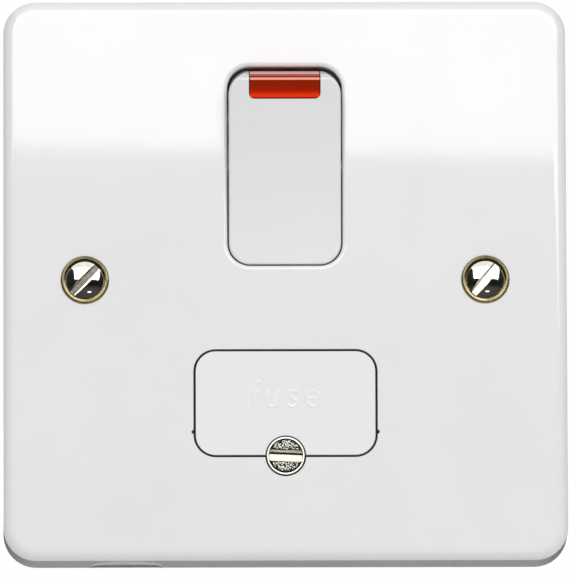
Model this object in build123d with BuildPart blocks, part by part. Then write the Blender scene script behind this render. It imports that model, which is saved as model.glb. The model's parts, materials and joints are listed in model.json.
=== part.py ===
from build123d import *
from math import cos, radians, sin, sqrt, tan
import os

os.makedirs("parts", exist_ok=True)

# Switched fused spur unit, in millimetres: X to the right, Y into the wall, Z up.
# The origin is the middle of the plate's back, so the face looks along -Y.

# Clearances
seat_gap = 0.05  # round a piece pressed or dropped into its seat
turn_gap = 0.05  # radial, round a shaft that turns
rocker_gap = 0.2  # between the rocker and its aperture
carrier_gap = 0.36  # between the fuse carrier and its aperture
head_gap = 0.15  # round the carrier screw's head
contact_gap = 0.06  # between two closed contact tips
plunger_gap = 0.1  # between a plunger and its contact bar
slot_gap = 0.1  # between a bearing post and the slot it closes
lamp_gap = 0.45  # between the lamp and the swung contact bars
stack_gap = 0.5  # between the plate's collars and the base behind them
clamp_gap = 0.9  # between the rim and the cord clamp

# Front plate
plate_size = 85.0  # width and height at the wall
plate_projection = 9.5  # from the wall to the face
plate_corner = 5.0
plate_draft = 0.6  # lean of the rim, degrees
plate_edge = 2.3  # radius of the rounding round the face
plate_edge_cut = 0.42  # rounding cut off by the rim's sides
face_wall = 2.5
rim_wall = 2.2
collar_wall = 2.0
tunnel_wall = 1.5
boss_radius = 3.0

# Flex outlet in the bottom rim
outlet_inset = 18.6  # from the plate's left side to the outlet's middle
outlet_width = 10.0
outlet_rise = 6.3  # from the wall to the top of the arch
outlet_arch = 5.4  # radius of the arch
outlet_lip = 0.8  # strip left behind the recess
outlet_recess = 0.4
outlet_web = 0.8

# Rocker
aperture_width = 17.3
aperture_height = 30.3
aperture_corner = 3.4
aperture_edge = 0.6
rocker_z = 17.35
pivot_depth = 4.5  # from the plate's face to the pivot
rocker_face = 6.0  # from the pivot to the rocker's face
rocker_tilt = 6.5  # lean of the face when on, degrees
rocker_wall = 1.5
rocker_edge = 0.4
trunnion_radius = 1.5
trunnion_short = 0.3  # from a trunnion's end to the outside of the collar
hub_radius = 2.6

# Neon lens
lens_width = 10.7
lens_drop = 3.1  # from the rocker's top edge to the lens's lower edge
lens_corner = 0.8
lens_sill = 1.2  # strip of rocker left under the lens at the end

# Plungers and springs
pole_x = 4.2
plunger_radius = 1.5
plunger_reach = 8.0  # from the pivot to the plunger's tip
plunger_tail = 0.2  # from the pivot to the plunger's sprung end
plunger_nose = 1.3  # rounding of the tip
tube_wall = 0.9
tube_reach = 2.0  # tube behind the pivot
spring_wire = 0.4
spring_turns = 4.0

# See-saw contacts
bar_lean = 8.25  # lean of a bar when closed, degrees
bar_thick = 1.6
bar_width = 4.0
bar_corner = 1.2
bar_arm = 10.5  # from the see-saw's pivot to the contact tip
bar_head = 1.7  # bar beyond the tip
bar_tail = 11.0  # bar below the pivot
tip_height = 0.6
tip_dome = 3.0  # radius of the tip's dome
tip_shank = 0.8
fixed_tip_height = 0.8
fixed_tip_radius = 1.8
fixed_tip_edge = 0.3
post_radius = 0.8  # knife post under a bar
post_width = 3.0

# Strips
strip_thick = 0.8
supply_strip_width = 4.2
pivot_strip_width = 5.0
pivot_strip_rise = 5.25  # strip above the pivot
load_strip_width = 4.6
neutral_run_width = 4.0
neutral_cross_z = 4.0
line_peg_z = -8.0
upper_peg_z = 2.5
neutral_peg_z = -12.0
peg_radius = 1.0
peg_head = 0.5  # peg in front of what it holds
strip_corner = 1.0

# Fuse and carrier
fuse_length = 25.4
fuse_radius = 3.175
cap_length = 6.4
cap_wall = 0.2
fuse_rest = 0.625  # between the carrier's wall and the fuse
fuse_end_gap = 0.795  # from the fuse to the carrier's side
carrier_height = 15.67
carrier_corner = 3.0
carrier_z = -18.7
carrier_wall = 2.2
skirt_wall = 1.2
skirt_inner = 4.6
skirt_outer = 10.4
skirt_depth = 6.8
cradle_width = 8.4
cradle_wall = 1.2
cradle_gap = 0.1
cradle_grip = 1.3  # cradle behind the fuse's axis
nail_notch = 0.3
nail_notch_drop = 4.35  # below the carrier's middle

# Carrier screw
carrier_screw_drop = 8.0  # below the carrier's middle
carrier_screw_head = 2.925
carrier_screw_radius = 1.5
carrier_screw_sunk = 0.15  # head below the plate's face
carrier_head_height = 1.9
carrier_screw_bevel = 0.5
carrier_screw_reach = 11.5  # shank behind the head
carrier_screw_slot = 1.3
carrier_screw_slot_depth = 0.8
carrier_screw_turn = -2.5  # slot's lean, degrees
ear_radius = 2.85
ear_depth = 2.0
ear_root = 4.8
insert_radius = 2.1
insert_length = 7.0
insert_post_wall = 1.1
insert_post_short = 0.1  # post behind the tunnel's end

# Fuse clips
clip_inset = 2.9  # from the fuse's end to a clip's middle
clip_width = 3.2
clip_thick = 0.6
clip_grip = 0.05  # between a jaw and the fuse
clip_bend = 0.9
clip_flare = 0.9
clip_flare_length = 1.6
clip_lip = 1.1  # from the carrier's wall to the jaws' lips

# Terminals
terminal_width = 8.0
terminal_length = 8.6
terminal_depth = 8.0
terminal_bore = 2.2
terminal_bore_depth = 7.6
terminal_bore_inset = 3.1
terminal_neck = 1.5
terminal_neck_head = 2.1
terminal_neck_head_height = 0.5
terminal_screw_radius = 1.5
terminal_screw_head = 2.7
terminal_screw_head_height = 1.6
terminal_screw_clear = 0.2  # tip above the wire hole
terminal_screw_slot = 0.9
terminal_screw_slot_depth = 0.8
supply_z = 28.0
supply_x = 18.0
load_z = -24.0
line_load_x = -6.0
neutral_load_x = -18.2
earth_load_x = 16.0
tower_wall = 1.5
tower_lip = 1.7
tower_corner = 1.2
terminal_corner = 0.5

# Base
base_standoff = 6.0  # from the back of the plate's face to the base
base_wall = 2.0
base_margin = 0.25  # base below the insert's post
waist_width = 48.0
waist_height = 18.0
ear_width = 6.0  # base beyond its waist, each side
ear_corner_share = 0.4  # corner rounding as a share of that
floor_wall = 1.5
bearing_root_width = 2.8
bearing_root_height = 5.2
bearing_inset = 0.1

# Base screws
base_screw_x = 25.7
base_screw_z = 14.5
base_screw_radius = 1.45
base_screw_head = 2.8
base_screw_head_height = 2.2
base_screw_web = 3.0  # base under the head
base_screw_bite = 4.6  # screw inside the plate's boss
column_wall = 1.3
screw_cross = 0.8
screw_cross_depth = 1.0

# Earth strap and bar
fixing_spacing = 60.3
cup_radius = 3.6
cup_wall = 0.65
cup_proud = 0.3
cup_edge = 0.22
strap_width = 6.0
strap_drop = 4.4  # strap's middle below the fixing screws
strap_length = 56.0
strap_pad = 5.2
strap_tab_x = 16.0
strap_tab_width = 4.0
strap_tab_end = 0.8  # tab behind the earth bar
earth_bar_width = 5.0
earth_bar_z = -2.0

# Fixing screws
fixing_head = 2.8
fixing_head_proud = 0.4
fixing_dome = 6.5  # radius of the head's dome
fixing_shank = 1.5
fixing_thread = 1.75
fixing_thread_start = 0.2  # behind the wall plane
fixing_thread_length = 16.0
fixing_point = 0.6
fixing_slot = 1.2
fixing_slot_depth = 0.9
left_slot_turn = 46.5
right_slot_turn = 51.0
shank_gap = 0.3

# Neon lamp
lamp_radius = 1.9
lamp_length = 9.0
lamp_rise = 11.5  # above the rocker's pivot
lamp_tip = 1.2
lamp_post_width = 2.4
lamp_post_height = 4.6
lead_radius = 0.25
lead_x = 8.0
lead_rise = 4.05  # lead's lower run above the rocker's pivot
lead_bend = 1.0
lead_tab = 1.3  # half-width of a strip's solder tab
resistor_radius = 1.0
resistor_length = 5.4
resistor_front = 1.6  # behind the lamp's axis
resistor_edge = 0.4

# Cord clamp
clamp_bar_width = 4.6
clamp_bar_thick = 2.4
clamp_spacing = 16.0
clamp_boss_radius = 2.5
clamp_boss_short = 1.5  # boss in front of the wall plane
clamp_arch = 3.6
clamp_arch_depth = 0.8
clamp_screw_radius = 1.2
clamp_screw_head = 2.1
clamp_screw_head_height = 1.5
clamp_screw_bite = 4.0

# Depths, counted along Y from the wall plane
face_front = -plate_projection
face_back = face_front + face_wall
pivot_y = face_front + pivot_depth
lean = radians(bar_lean)
seesaw_y = pivot_y + plunger_reach + plunger_gap + bar_thick
tip_core = tip_dome - tip_height
contact_y = seesaw_y + bar_arm * sin(lean) - tip_core * cos(lean) + tip_dome
contact_z = rocker_z + bar_arm * cos(lean) + tip_core * sin(lean)
strip_front = contact_y + contact_gap + fixed_tip_height
floor_front = strip_front + strip_thick
floor_back = floor_front + floor_wall
base_front = face_back + base_standoff
collar_back = base_front - stack_gap
base_back = floor_back + strip_thick + terminal_depth + tower_lip
carrier_back = face_front + carrier_wall
fuse_y = carrier_back + fuse_rest + fuse_radius
tab_back = floor_back + strip_thick + strap_tab_end

# Outlines that several pieces share
outlet_x = outlet_inset - plate_size / 2
base_width = waist_width + 2 * ear_width
rocker_half = aperture_width / 2 - rocker_gap
rocker_end = aperture_height / 2 - rocker_gap
rocker_corner = aperture_corner - rocker_gap
collar_half = aperture_width / 2 + collar_wall
carrier_width = fuse_length + 2 * fuse_end_gap
clip_x = fuse_length / 2 - clip_inset
tunnel_width = carrier_width + 2 * carrier_gap
tunnel_height = carrier_height + 2 * carrier_gap
tunnel_corner = carrier_corner + carrier_gap
notch_radius = carrier_screw_head + head_gap
carrier_screw_z = carrier_z - carrier_screw_drop
pocket_width = terminal_width + 2 * seat_gap
pocket_length = terminal_length + 2 * seat_gap
tower_width = pocket_width + 2 * tower_wall
tower_length = pocket_length + 2 * tower_wall
insert_post = insert_radius + seat_gap + insert_post_wall
column_radius = base_screw_head + slot_gap + column_wall
base_top = supply_z + tower_length / 2
base_bottom = carrier_screw_z - insert_post - base_margin
shoulder_z = -base_screw_z - column_radius - stack_gap
fixing_x = fixing_spacing / 2
clamp_z = -(plate_size / 2 - rim_wall - clamp_gap - clamp_bar_width / 2)
strap_top = -strap_drop + strap_width / 2
strap_bottom = -strap_drop - strap_width / 2
lamp_z = rocker_z + lamp_rise
lamp_y = seesaw_y - (bar_arm + bar_head) * sin(lean) - bar_thick * cos(lean) - lamp_gap - lamp_radius
lead_z = rocker_z + lead_rise
poles = (("line", 1), ("neutral", -1))
base_screw_places = [(i * base_screw_x, j * base_screw_z) for i in (-1, 1) for j in (-1, 1)]
clamp_places = [(outlet_x + i * clamp_spacing / 2, clamp_z) for i in (-1, 1)]
fixing_places = [(-fixing_x, 0), (fixing_x, 0)]
terminals = (
    ("terminal_line_supply", supply_x, supply_z, 1, False),
    ("terminal_neutral_supply", -supply_x, supply_z, 1, False),
    ("terminal_earth_supply", 0, supply_z, 1, True),
    ("terminal_line_load", line_load_x, load_z, -1, False),
    ("terminal_neutral_load", neutral_load_x, load_z, -1, False),
    ("terminal_earth_load", earth_load_x, load_z, -1, True),
)


# Drawing plane seen from the front, at a depth along Y
def facing(depth):
    return Plane.XZ.offset(-depth)


# Rectangle between two X values and two Z values
def panel(left, right, bottom, top, mode=Mode.ADD):
    with Locations(((left + right) / 2, (bottom + top) / 2)):
        Rectangle(right - left, top - bottom, mode=mode)


# Fuse aperture with its round bay for the carrier screw
def fuse_aperture(margin):
    with Locations((0, carrier_z)):
        RectangleRounded(tunnel_width + 2 * margin, tunnel_height + 2 * margin, tunnel_corner + margin)
    with Locations((0, carrier_screw_z)):
        Circle(notch_radius + margin)


# Outline of the base: waisted for the wall box's fixing lugs, narrow at the foot for a flex
def base_outline(inset):
    half = base_width / 2 - inset
    waist = waist_width / 2 - inset
    panel(-half, half, shoulder_z + inset, base_top - inset)
    panel(-waist, waist, base_bottom + inset, base_top - inset)
    for side in (-1, 1):
        with Locations((side * base_width / 2, 0)):
            Rectangle(base_width - waist_width + 2 * inset, waist_height + 2 * inset, mode=Mode.SUBTRACT)


# Front of a terminal block: the earth blocks sit on the earth bar
def block_front(earthed):
    return floor_back + strip_thick if earthed else floor_back


# Rounded front of the plate, a little wider than the rim, so that the rim's sides end in a crisp edge
def plate_crown():
    widening = plate_edge_cut - plate_projection * tan(radians(plate_draft))
    width = plate_size + 2 * widening
    with BuildPart() as crown:
        with BuildSketch(facing(0)):
            RectangleRounded(width, width, plate_corner + widening)
        extrude(amount=plate_projection)
        fillet(crown.faces().sort_by(Axis.Y)[0].edges(), plate_edge)
    return crown.part


# Arch of the flex outlet, from a height above the wall
def outlet_shape(foot):
    with Locations((0, outlet_rise - outlet_arch)):
        Circle(outlet_arch)
    with Locations((0, (foot + outlet_rise) / 2)):
        Rectangle(outlet_width, outlet_rise - foot, mode=Mode.INTERSECT)


# Front plate: hollow moulding with the rocker's collar, the fuse tunnel and its bosses
with BuildPart() as front_plate:
    with BuildSketch(facing(0)):
        RectangleRounded(plate_size, plate_size, plate_corner)
    extrude(amount=plate_projection, taper=plate_draft)
    add(plate_crown(), mode=Mode.INTERSECT)
    with BuildSketch(facing(0)):
        inner_size = plate_size - 2 * rim_wall
        RectangleRounded(inner_size, inner_size, plate_corner - rim_wall)
    extrude(amount=plate_projection - face_wall, taper=plate_draft, mode=Mode.SUBTRACT)
    with BuildSketch(facing(face_back)):
        with Locations((0, rocker_z)):
            RectangleRounded(
                2 * collar_half, aperture_height + 2 * collar_wall, aperture_corner + collar_wall
            )
        fuse_aperture(tunnel_wall)
    extrude(amount=face_back - collar_back)
    with BuildSketch(facing(face_back)):
        with Locations(*base_screw_places):
            Circle(boss_radius)
    extrude(amount=face_back - base_front)
    with BuildSketch(facing(face_back)):
        with Locations(*clamp_places):
            Circle(clamp_boss_radius)
    extrude(amount=face_back + clamp_boss_short)
    with BuildSketch(facing(face_front)):
        with Locations((0, rocker_z)):
            RectangleRounded(aperture_width, aperture_height, aperture_corner)
        fuse_aperture(0)
        for side in (-1, 1):
            with Locations((side * tunnel_width / 2, carrier_z - nail_notch_drop)):
                Circle(nail_notch)
        with Locations(*fixing_places):
            Circle(cup_radius + seat_gap)
    extrude(amount=face_front - collar_back, mode=Mode.SUBTRACT)
    rocker_opening = front_plate.faces().sort_by(Axis.Y)[0].inner_wires().sort_by(Axis.Z)[-1]
    fillet(rocker_opening.edges(), aperture_edge)
    with BuildSketch(Plane.YZ):
        with Locations((pivot_y, rocker_z)):
            Circle(trunnion_radius + turn_gap)
        slot_half = trunnion_radius + turn_gap
        panel(pivot_y, collar_back, rocker_z - slot_half, rocker_z + slot_half)
    extrude(amount=collar_half, both=True, mode=Mode.SUBTRACT)
    with BuildSketch(facing(base_front)):
        with Locations(*base_screw_places):
            Circle(base_screw_radius + seat_gap)
    extrude(amount=base_screw_bite + stack_gap, mode=Mode.SUBTRACT)
    with BuildSketch(facing(-clamp_boss_short)):
        with Locations(*clamp_places):
            Circle(clamp_screw_radius + seat_gap)
    extrude(amount=clamp_screw_bite + stack_gap, mode=Mode.SUBTRACT)
    draft = radians(plate_draft)
    outlet_plane = Plane(
        origin=(outlet_x, 0, -plate_size / 2), x_dir=(1, 0, 0), z_dir=(0, -sin(draft), -cos(draft))
    )
    with BuildSketch(outlet_plane):
        outlet_shape(outlet_lip)
    extrude(amount=-outlet_recess, mode=Mode.SUBTRACT)
    with BuildSketch(outlet_plane.offset(-outlet_recess - outlet_web)):
        outlet_shape(0)
    extrude(amount=outlet_recess + outlet_web - rim_wall, mode=Mode.SUBTRACT)

front_plate.part.label = "front_plate"
export_step(front_plate.part, "parts/front_plate.step")

# The rocker leans out at the top when the switch is on
tilt = radians(rocker_tilt)
pivot = (0, pivot_y, rocker_z)
rocker_out = (0, -cos(tilt), -sin(tilt))
rocker_up = (0, -sin(tilt), cos(tilt))
rocker_plane = Plane(origin=pivot, x_dir=(1, 0, 0), z_dir=rocker_out)
rocker_side = Plane(origin=pivot, x_dir=rocker_up, z_dir=(1, 0, 0))


# Rocker form, drawn in by an inset: a flat face with round ends that turn about the pivot,
# and corners that pass the aperture's in both positions
def rocker_form(inset):
    with BuildPart() as form:
        with BuildSketch(rocker_side):
            Circle(rocker_end - inset)
            with Locations((0, (rocker_face - inset) / 2)):
                Rectangle(2 * rocker_end, rocker_face - inset, mode=Mode.INTERSECT)
        extrude(amount=rocker_half - inset, both=True)
        for lean_in in (0, 2 * tilt):
            with BuildSketch(Plane(origin=pivot, x_dir=(1, 0, 0), z_dir=(0, -cos(lean_in), -sin(lean_in)))):
                RectangleRounded(2 * (rocker_half - inset), 2 * (rocker_end - inset), rocker_corner - inset)
            extrude(amount=rocker_end, both=True, mode=Mode.INTERSECT)
    return form.part


rocker_top = sqrt(rocker_end**2 - rocker_face**2)
lens_bottom = rocker_top - lens_drop
lens_top = rocker_end + 2 * lens_corner


# Outline of the lens as the rocker's face shows it
def lens_outline(margin):
    with Locations((0, (lens_bottom + lens_top) / 2)):
        RectangleRounded(lens_width + 2 * margin, lens_top - lens_bottom + 2 * margin, lens_corner + margin)


# Rocker: hollow dolly with trunnions and two plunger tubes
tube_radius = plunger_radius + 2 * turn_gap + tube_wall
rocker_inside = rocker_face - rocker_wall
with BuildPart() as rocker:
    add(rocker_form(0))
    rocker_front = rocker.faces().sort_by(Axis(pivot, rocker_out))[-1]
    fillet(rocker_front.edges(), rocker_edge)
    add(rocker_form(rocker_wall), mode=Mode.SUBTRACT)
    with BuildSketch(rocker_plane.offset(lens_sill)):
        lens_outline(seat_gap)
    extrude(amount=rocker_face, mode=Mode.SUBTRACT)
    for side in (-1, 1):
        wall_inside = Plane(
            origin=(side * (rocker_half - rocker_wall), pivot_y, rocker_z), z_dir=(side, 0, 0)
        )
        with BuildSketch(wall_inside):
            Circle(hub_radius)
        extrude(amount=rocker_wall)
        with BuildSketch(wall_inside):
            Circle(trunnion_radius)
        extrude(amount=collar_half - trunnion_short - rocker_half + rocker_wall)
    with BuildSketch(rocker_plane.offset(rocker_inside)):
        with Locations((-pole_x, 0), (pole_x, 0)):
            Circle(tube_radius)
    extrude(amount=-rocker_inside - tube_reach)
    with BuildSketch(rocker_plane.offset(rocker_inside)):
        with Locations((-pole_x, 0), (pole_x, 0)):
            Circle(tube_radius - tube_wall)
    extrude(amount=-rocker_inside - tube_reach, mode=Mode.SUBTRACT)

rocker.part.label = "rocker"
export_step(rocker.part, "parts/rocker.step")

# Neon lens: the piece of the rocker's skin at its top, wrapped over the end
with BuildPart() as neon_lens:
    add(rocker_form(0))
    fillet(neon_lens.faces().sort_by(Axis(pivot, rocker_out))[-1].edges(), rocker_edge)
    add(rocker_form(rocker_wall), mode=Mode.SUBTRACT)
    with BuildSketch(rocker_plane.offset(lens_sill + seat_gap)):
        lens_outline(0)
    extrude(amount=rocker_face, mode=Mode.INTERSECT)

neon_lens.part.label = "neon_lens"
export_step(neon_lens.part, "parts/neon_lens.step")

# Sprung plungers in the rocker's tubes
spring_radius = plunger_radius - spring_wire
spring_length = rocker_inside - plunger_tail - spring_wire
for pole, side in poles:
    with BuildPart() as plunger:
        with BuildSketch(rocker_plane.offset(-plunger_reach)):
            with Locations((side * pole_x, 0)):
                Circle(plunger_radius)
        extrude(amount=plunger_reach + plunger_tail)
        fillet(plunger.faces().sort_by(Axis(pivot, rocker_out))[0].edges(), plunger_nose)
    plunger.part.label = f"plunger_{pole}"
    export_step(plunger.part, f"parts/plunger_{pole}.step")

    spring_seat = rocker_plane.offset(plunger_tail + spring_wire / 2)
    spring_origin = spring_seat.from_local_coords((side * pole_x, 0, 0))
    with BuildPart() as plunger_spring:
        with BuildLine() as coil:
            Helix(
                pitch=spring_length / spring_turns,
                height=spring_length,
                radius=spring_radius,
                center=spring_origin,
                direction=rocker_out,
            )
        with BuildSketch(Plane(origin=coil.line @ 0, z_dir=coil.line % 0)):
            Circle(spring_wire / 2)
        sweep(path=coil.line, is_frenet=True)
    plunger_spring.part.label = f"plunger_spring_{pole}"
    export_step(plunger_spring.part, f"parts/plunger_spring_{pole}.step")

# See-saw contact bars, each with a domed tip riveted through it
bar_out = (0, -cos(lean), sin(lean))
bar_up = (0, sin(lean), cos(lean))
for pole, side in poles:
    bar_pivot = (side * pole_x, seesaw_y, rocker_z)
    bar_side = Plane(origin=bar_pivot, x_dir=bar_up, z_dir=(1, 0, 0))
    bar_back = Plane(origin=bar_pivot, x_dir=(1, 0, 0), z_dir=bar_out)
    with BuildPart() as moving_contact:
        with BuildSketch(bar_back):
            panel(-bar_width / 2, bar_width / 2, -bar_tail, bar_arm + bar_head)
            fillet(vertices(), bar_corner)
            with Locations((0, bar_arm)):
                Circle(tip_shank + seat_gap, mode=Mode.SUBTRACT)
        extrude(amount=bar_thick)
        with BuildSketch(bar_side):
            Circle(post_radius + plunger_gap)
        extrude(amount=bar_width, both=True, mode=Mode.SUBTRACT)
    moving_contact.part.label = f"moving_contact_{pole}"
    export_step(moving_contact.part, f"parts/moving_contact_{pole}.step")

    tip_origin = bar_side.from_local_coords((bar_arm, 0, 0))
    tip_head = sqrt(tip_dome**2 - tip_core**2)
    half_dome = tip_head / tip_dome / 2
    with BuildPart() as moving_tip:
        with BuildSketch(Plane(origin=tip_origin, x_dir=bar_up, z_dir=(1, 0, 0))):
            with BuildLine():
                Polyline((0, -tip_height), (0, bar_thick), (tip_shank, bar_thick), (tip_shank, 0), (tip_head, 0))
                dome_mid = (tip_dome * half_dome, tip_core - tip_dome * sqrt(1 - half_dome**2))
                ThreePointArc((tip_head, 0), dome_mid, (0, -tip_height))
            make_face()
        revolve(axis=Axis(tip_origin, bar_out))
    moving_tip.part.label = f"moving_tip_{pole}"
    export_step(moving_tip.part, f"parts/moving_tip_{pole}.step")

    with BuildPart() as fixed_tip:
        with BuildSketch(facing(strip_front)):
            with Locations((side * pole_x, contact_z)):
                Circle(fixed_tip_radius)
        extrude(amount=fixed_tip_height)
        fillet(fixed_tip.faces().sort_by(Axis.Y)[0].edges(), fixed_tip_edge)
        with BuildSketch(facing(strip_front)):
            with Locations((side * pole_x, contact_z)):
                Circle(tip_shank)
        extrude(amount=-strip_thick)
    fixed_tip.part.label = f"fixed_tip_{pole}"
    export_step(fixed_tip.part, f"parts/fixed_tip_{pole}.step")

# Supply strips from the supply terminals to the fixed tips
for pole, side in poles:
    with BuildPart() as supply_strip:
        with BuildSketch(facing(strip_front)):
            half = supply_strip_width / 2
            ends = sorted((side * (pole_x - fixed_tip_radius - seat_gap), side * (supply_x + half)))
            panel(ends[0], ends[1], supply_z - half, supply_z + half)
            fillet(vertices(), strip_corner)
            with Locations((side * pole_x, contact_z)):
                Circle(tip_shank + seat_gap, mode=Mode.SUBTRACT)
            with Locations((side * supply_x, supply_z)):
                Circle(terminal_neck + seat_gap, mode=Mode.SUBTRACT)
        extrude(amount=-strip_thick)
    supply_strip.part.label = f"supply_strip_{pole}"
    export_step(supply_strip.part, f"parts/supply_strip_{pole}.step")

# Pivot strips: the line one feeds the fuse, the neutral one runs to its load terminal
pivot_top = rocker_z + pivot_strip_rise
band = pivot_strip_width / 2
run = neutral_run_width / 2
for pole, side in poles:
    with BuildPart() as pivot_strip:
        with BuildSketch(facing(strip_front)):
            if pole == "line":
                panel(pole_x - band, pole_x + band, carrier_z - band, pivot_top)
                panel(pole_x - band, clip_x + clip_width / 2, carrier_z - band, carrier_z + band)
                pegs = [(pole_x, upper_peg_z), (pole_x, line_peg_z), (clip_x, carrier_z)]
                necks = []
            else:
                panel(-pole_x - band, -pole_x + band, neutral_cross_z - band, pivot_top)
                panel(neutral_load_x - run, -pole_x + band, neutral_cross_z - band, neutral_cross_z + band)
                run_end = load_z - terminal_neck_head - strip_corner
                panel(neutral_load_x - run, neutral_load_x + run, run_end, neutral_cross_z + band)
                pegs = [(-pole_x, upper_peg_z), (neutral_load_x, neutral_peg_z)]
                necks = [(neutral_load_x, load_z)]
            tab_ends = sorted((side * pole_x, side * (lead_x + lead_tab)))
            panel(tab_ends[0], tab_ends[1], lead_z - lead_tab, pivot_top)
            with Locations(*pegs):
                Circle(peg_radius + seat_gap, mode=Mode.SUBTRACT)
            if necks:
                with Locations(*necks):
                    Circle(terminal_neck + seat_gap, mode=Mode.SUBTRACT)
        extrude(amount=-strip_thick)
        with BuildSketch(Plane.YZ.offset(side * pole_x - post_width / 2)):
            panel(seesaw_y, strip_front, rocker_z - post_radius, rocker_z + post_radius)
            with Locations((seesaw_y, rocker_z)):
                Circle(post_radius)
        extrude(amount=post_width)
    pivot_strip.part.label = f"pivot_strip_{pole}"
    export_step(pivot_strip.part, f"parts/pivot_strip_{pole}.step")

# Load strip from the fuse to the line load terminal
with BuildPart() as load_strip_line:
    with BuildSketch(facing(strip_front)):
        half = load_strip_width / 2
        run_end = load_z - terminal_neck_head - strip_corner
        panel(line_load_x - half, line_load_x + half, run_end, carrier_z + band)
        panel(-clip_x - clip_width / 2, line_load_x, carrier_z - band, carrier_z + band)
        fillet(vertices().group_by(Axis.Y)[0], strip_corner)
        with Locations((-clip_x, carrier_z)):
            Circle(peg_radius + seat_gap, mode=Mode.SUBTRACT)
        with Locations((line_load_x, load_z)):
            Circle(terminal_neck + seat_gap, mode=Mode.SUBTRACT)
    extrude(amount=-strip_thick)

load_strip_line.part.label = "load_strip_line"
export_step(load_strip_line.part, "parts/load_strip_line.step")

# Fuse clips: bent strip with two straight jaws and flared lips
jaw = fuse_radius + clip_grip + clip_thick / 2
foot_y = strip_front - clip_thick / 2
lip_y = carrier_back + clip_lip
flare_y = lip_y + clip_flare_length
for name, side in (("supply", 1), ("load", -1)):
    with BuildPart() as fuse_clip:
        with BuildSketch(Plane.YZ.offset(side * clip_x - clip_width / 2)):
            with BuildLine():
                FilletPolyline(
                    (lip_y, carrier_z + jaw + clip_flare),
                    (flare_y, carrier_z + jaw),
                    (foot_y, carrier_z + jaw),
                    (foot_y, carrier_z - jaw),
                    (flare_y, carrier_z - jaw),
                    (lip_y, carrier_z - jaw - clip_flare),
                    radius=clip_bend,
                )
            trace(line_width=clip_thick)
        extrude(amount=clip_width)
        with BuildSketch(facing(strip_front)):
            with Locations((side * clip_x, carrier_z)):
                Circle(peg_radius + seat_gap)
        extrude(amount=clip_thick, mode=Mode.SUBTRACT)
    fuse_clip.part.label = f"fuse_clip_{name}"
    export_step(fuse_clip.part, f"parts/fuse_clip_{name}.step")

# Cartridge fuse: ceramic tube with a pressed cap on each end
tube_outer = fuse_radius - cap_wall - seat_gap
tube_length = fuse_length - 2 * (cap_wall + seat_gap)
with BuildPart() as fuse_tube:
    with BuildSketch(Plane.YZ.offset(-tube_length / 2)):
        with Locations((fuse_y, carrier_z)):
            Circle(tube_outer)
    extrude(amount=tube_length)

fuse_tube.part.label = "fuse_tube"
export_step(fuse_tube.part, "parts/fuse_tube.step")

for name, side in (("supply", 1), ("load", -1)):
    cap_end = Plane(origin=(side * fuse_length / 2, fuse_y, carrier_z), z_dir=(side, 0, 0))
    with BuildPart() as fuse_cap:
        with BuildSketch(cap_end):
            Circle(fuse_radius)
        extrude(amount=-cap_length)
        fillet(fuse_cap.faces().sort_by(Axis.X)[-1 if side > 0 else 0].edges(), 2 * cap_wall)
        with BuildSketch(cap_end.offset(-cap_wall)):
            Circle(fuse_radius - cap_wall)
        extrude(amount=cap_wall - cap_length, mode=Mode.SUBTRACT)
    fuse_cap.part.label = f"fuse_cap_{name}"
    export_step(fuse_cap.part, f"parts/fuse_cap_{name}.step")

# Fuse carrier: face, guide skirts, fuse cradle and the ear that keeps its screw
head_back = face_front + carrier_screw_sunk + carrier_head_height
ear_front = head_back + seat_gap
carrier_half = carrier_height / 2
cradle_half = fuse_radius + cradle_gap + cradle_wall
with BuildPart() as fuse_carrier:
    with BuildSketch(facing(face_front)):
        with Locations((0, carrier_z)):
            RectangleRounded(carrier_width, carrier_height, carrier_corner)
    extrude(amount=-carrier_wall)
    with BuildSketch(facing(carrier_back)):
        for side in (-1, 1):
            left, right = sorted((side * skirt_inner, side * skirt_outer))
            panel(left, right, carrier_z + carrier_half - skirt_wall, carrier_z + carrier_half)
            panel(left, right, carrier_z - carrier_half, carrier_z - carrier_half + skirt_wall)
    extrude(amount=-skirt_depth)
    with BuildSketch(facing(carrier_back)):
        panel(-cradle_width / 2, cradle_width / 2, carrier_z - cradle_half, carrier_z + cradle_half)
    extrude(amount=carrier_back - fuse_y - cradle_grip)
    with BuildSketch(Plane.YZ):
        with Locations((fuse_y, carrier_z)):
            Circle(fuse_radius + cradle_gap)
    extrude(amount=cradle_width, both=True, mode=Mode.SUBTRACT)
    with BuildSketch(facing(face_front)):
        with Locations((0, carrier_screw_z)):
            Circle(notch_radius)
    extrude(amount=face_front - ear_front, mode=Mode.SUBTRACT)
    with BuildSketch(facing(ear_front)):
        with Locations((0, carrier_screw_z)):
            Circle(ear_radius)
        panel(-ear_radius, ear_radius, carrier_screw_z, carrier_screw_z + ear_root)
    extrude(amount=-ear_depth)
    with BuildSketch(facing(ear_front)):
        with Locations((0, carrier_screw_z)):
            Circle(carrier_screw_radius + turn_gap)
    extrude(amount=-ear_depth, mode=Mode.SUBTRACT)

fuse_carrier.part.label = "fuse_carrier"
export_step(fuse_carrier.part, "parts/fuse_carrier.step")

# Carrier screw with its slot turned a little, and the insert it threads into
with BuildPart() as fuse_carrier_screw:
    with BuildSketch(facing(head_back)):
        with Locations((0, carrier_screw_z)):
            Circle(carrier_screw_head)
    extrude(amount=carrier_head_height)
    chamfer(fuse_carrier_screw.edges().group_by(Axis.Y)[0], carrier_screw_bevel)
    with BuildSketch(facing(head_back)):
        with Locations((0, carrier_screw_z)):
            Circle(carrier_screw_radius)
    extrude(amount=-carrier_screw_reach)
    with BuildSketch(facing(head_back - carrier_head_height)):
        with Locations((0, carrier_screw_z)):
            Rectangle(2 * carrier_screw_head, carrier_screw_slot, rotation=carrier_screw_turn)
    extrude(amount=-carrier_screw_slot_depth, mode=Mode.SUBTRACT)

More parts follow.
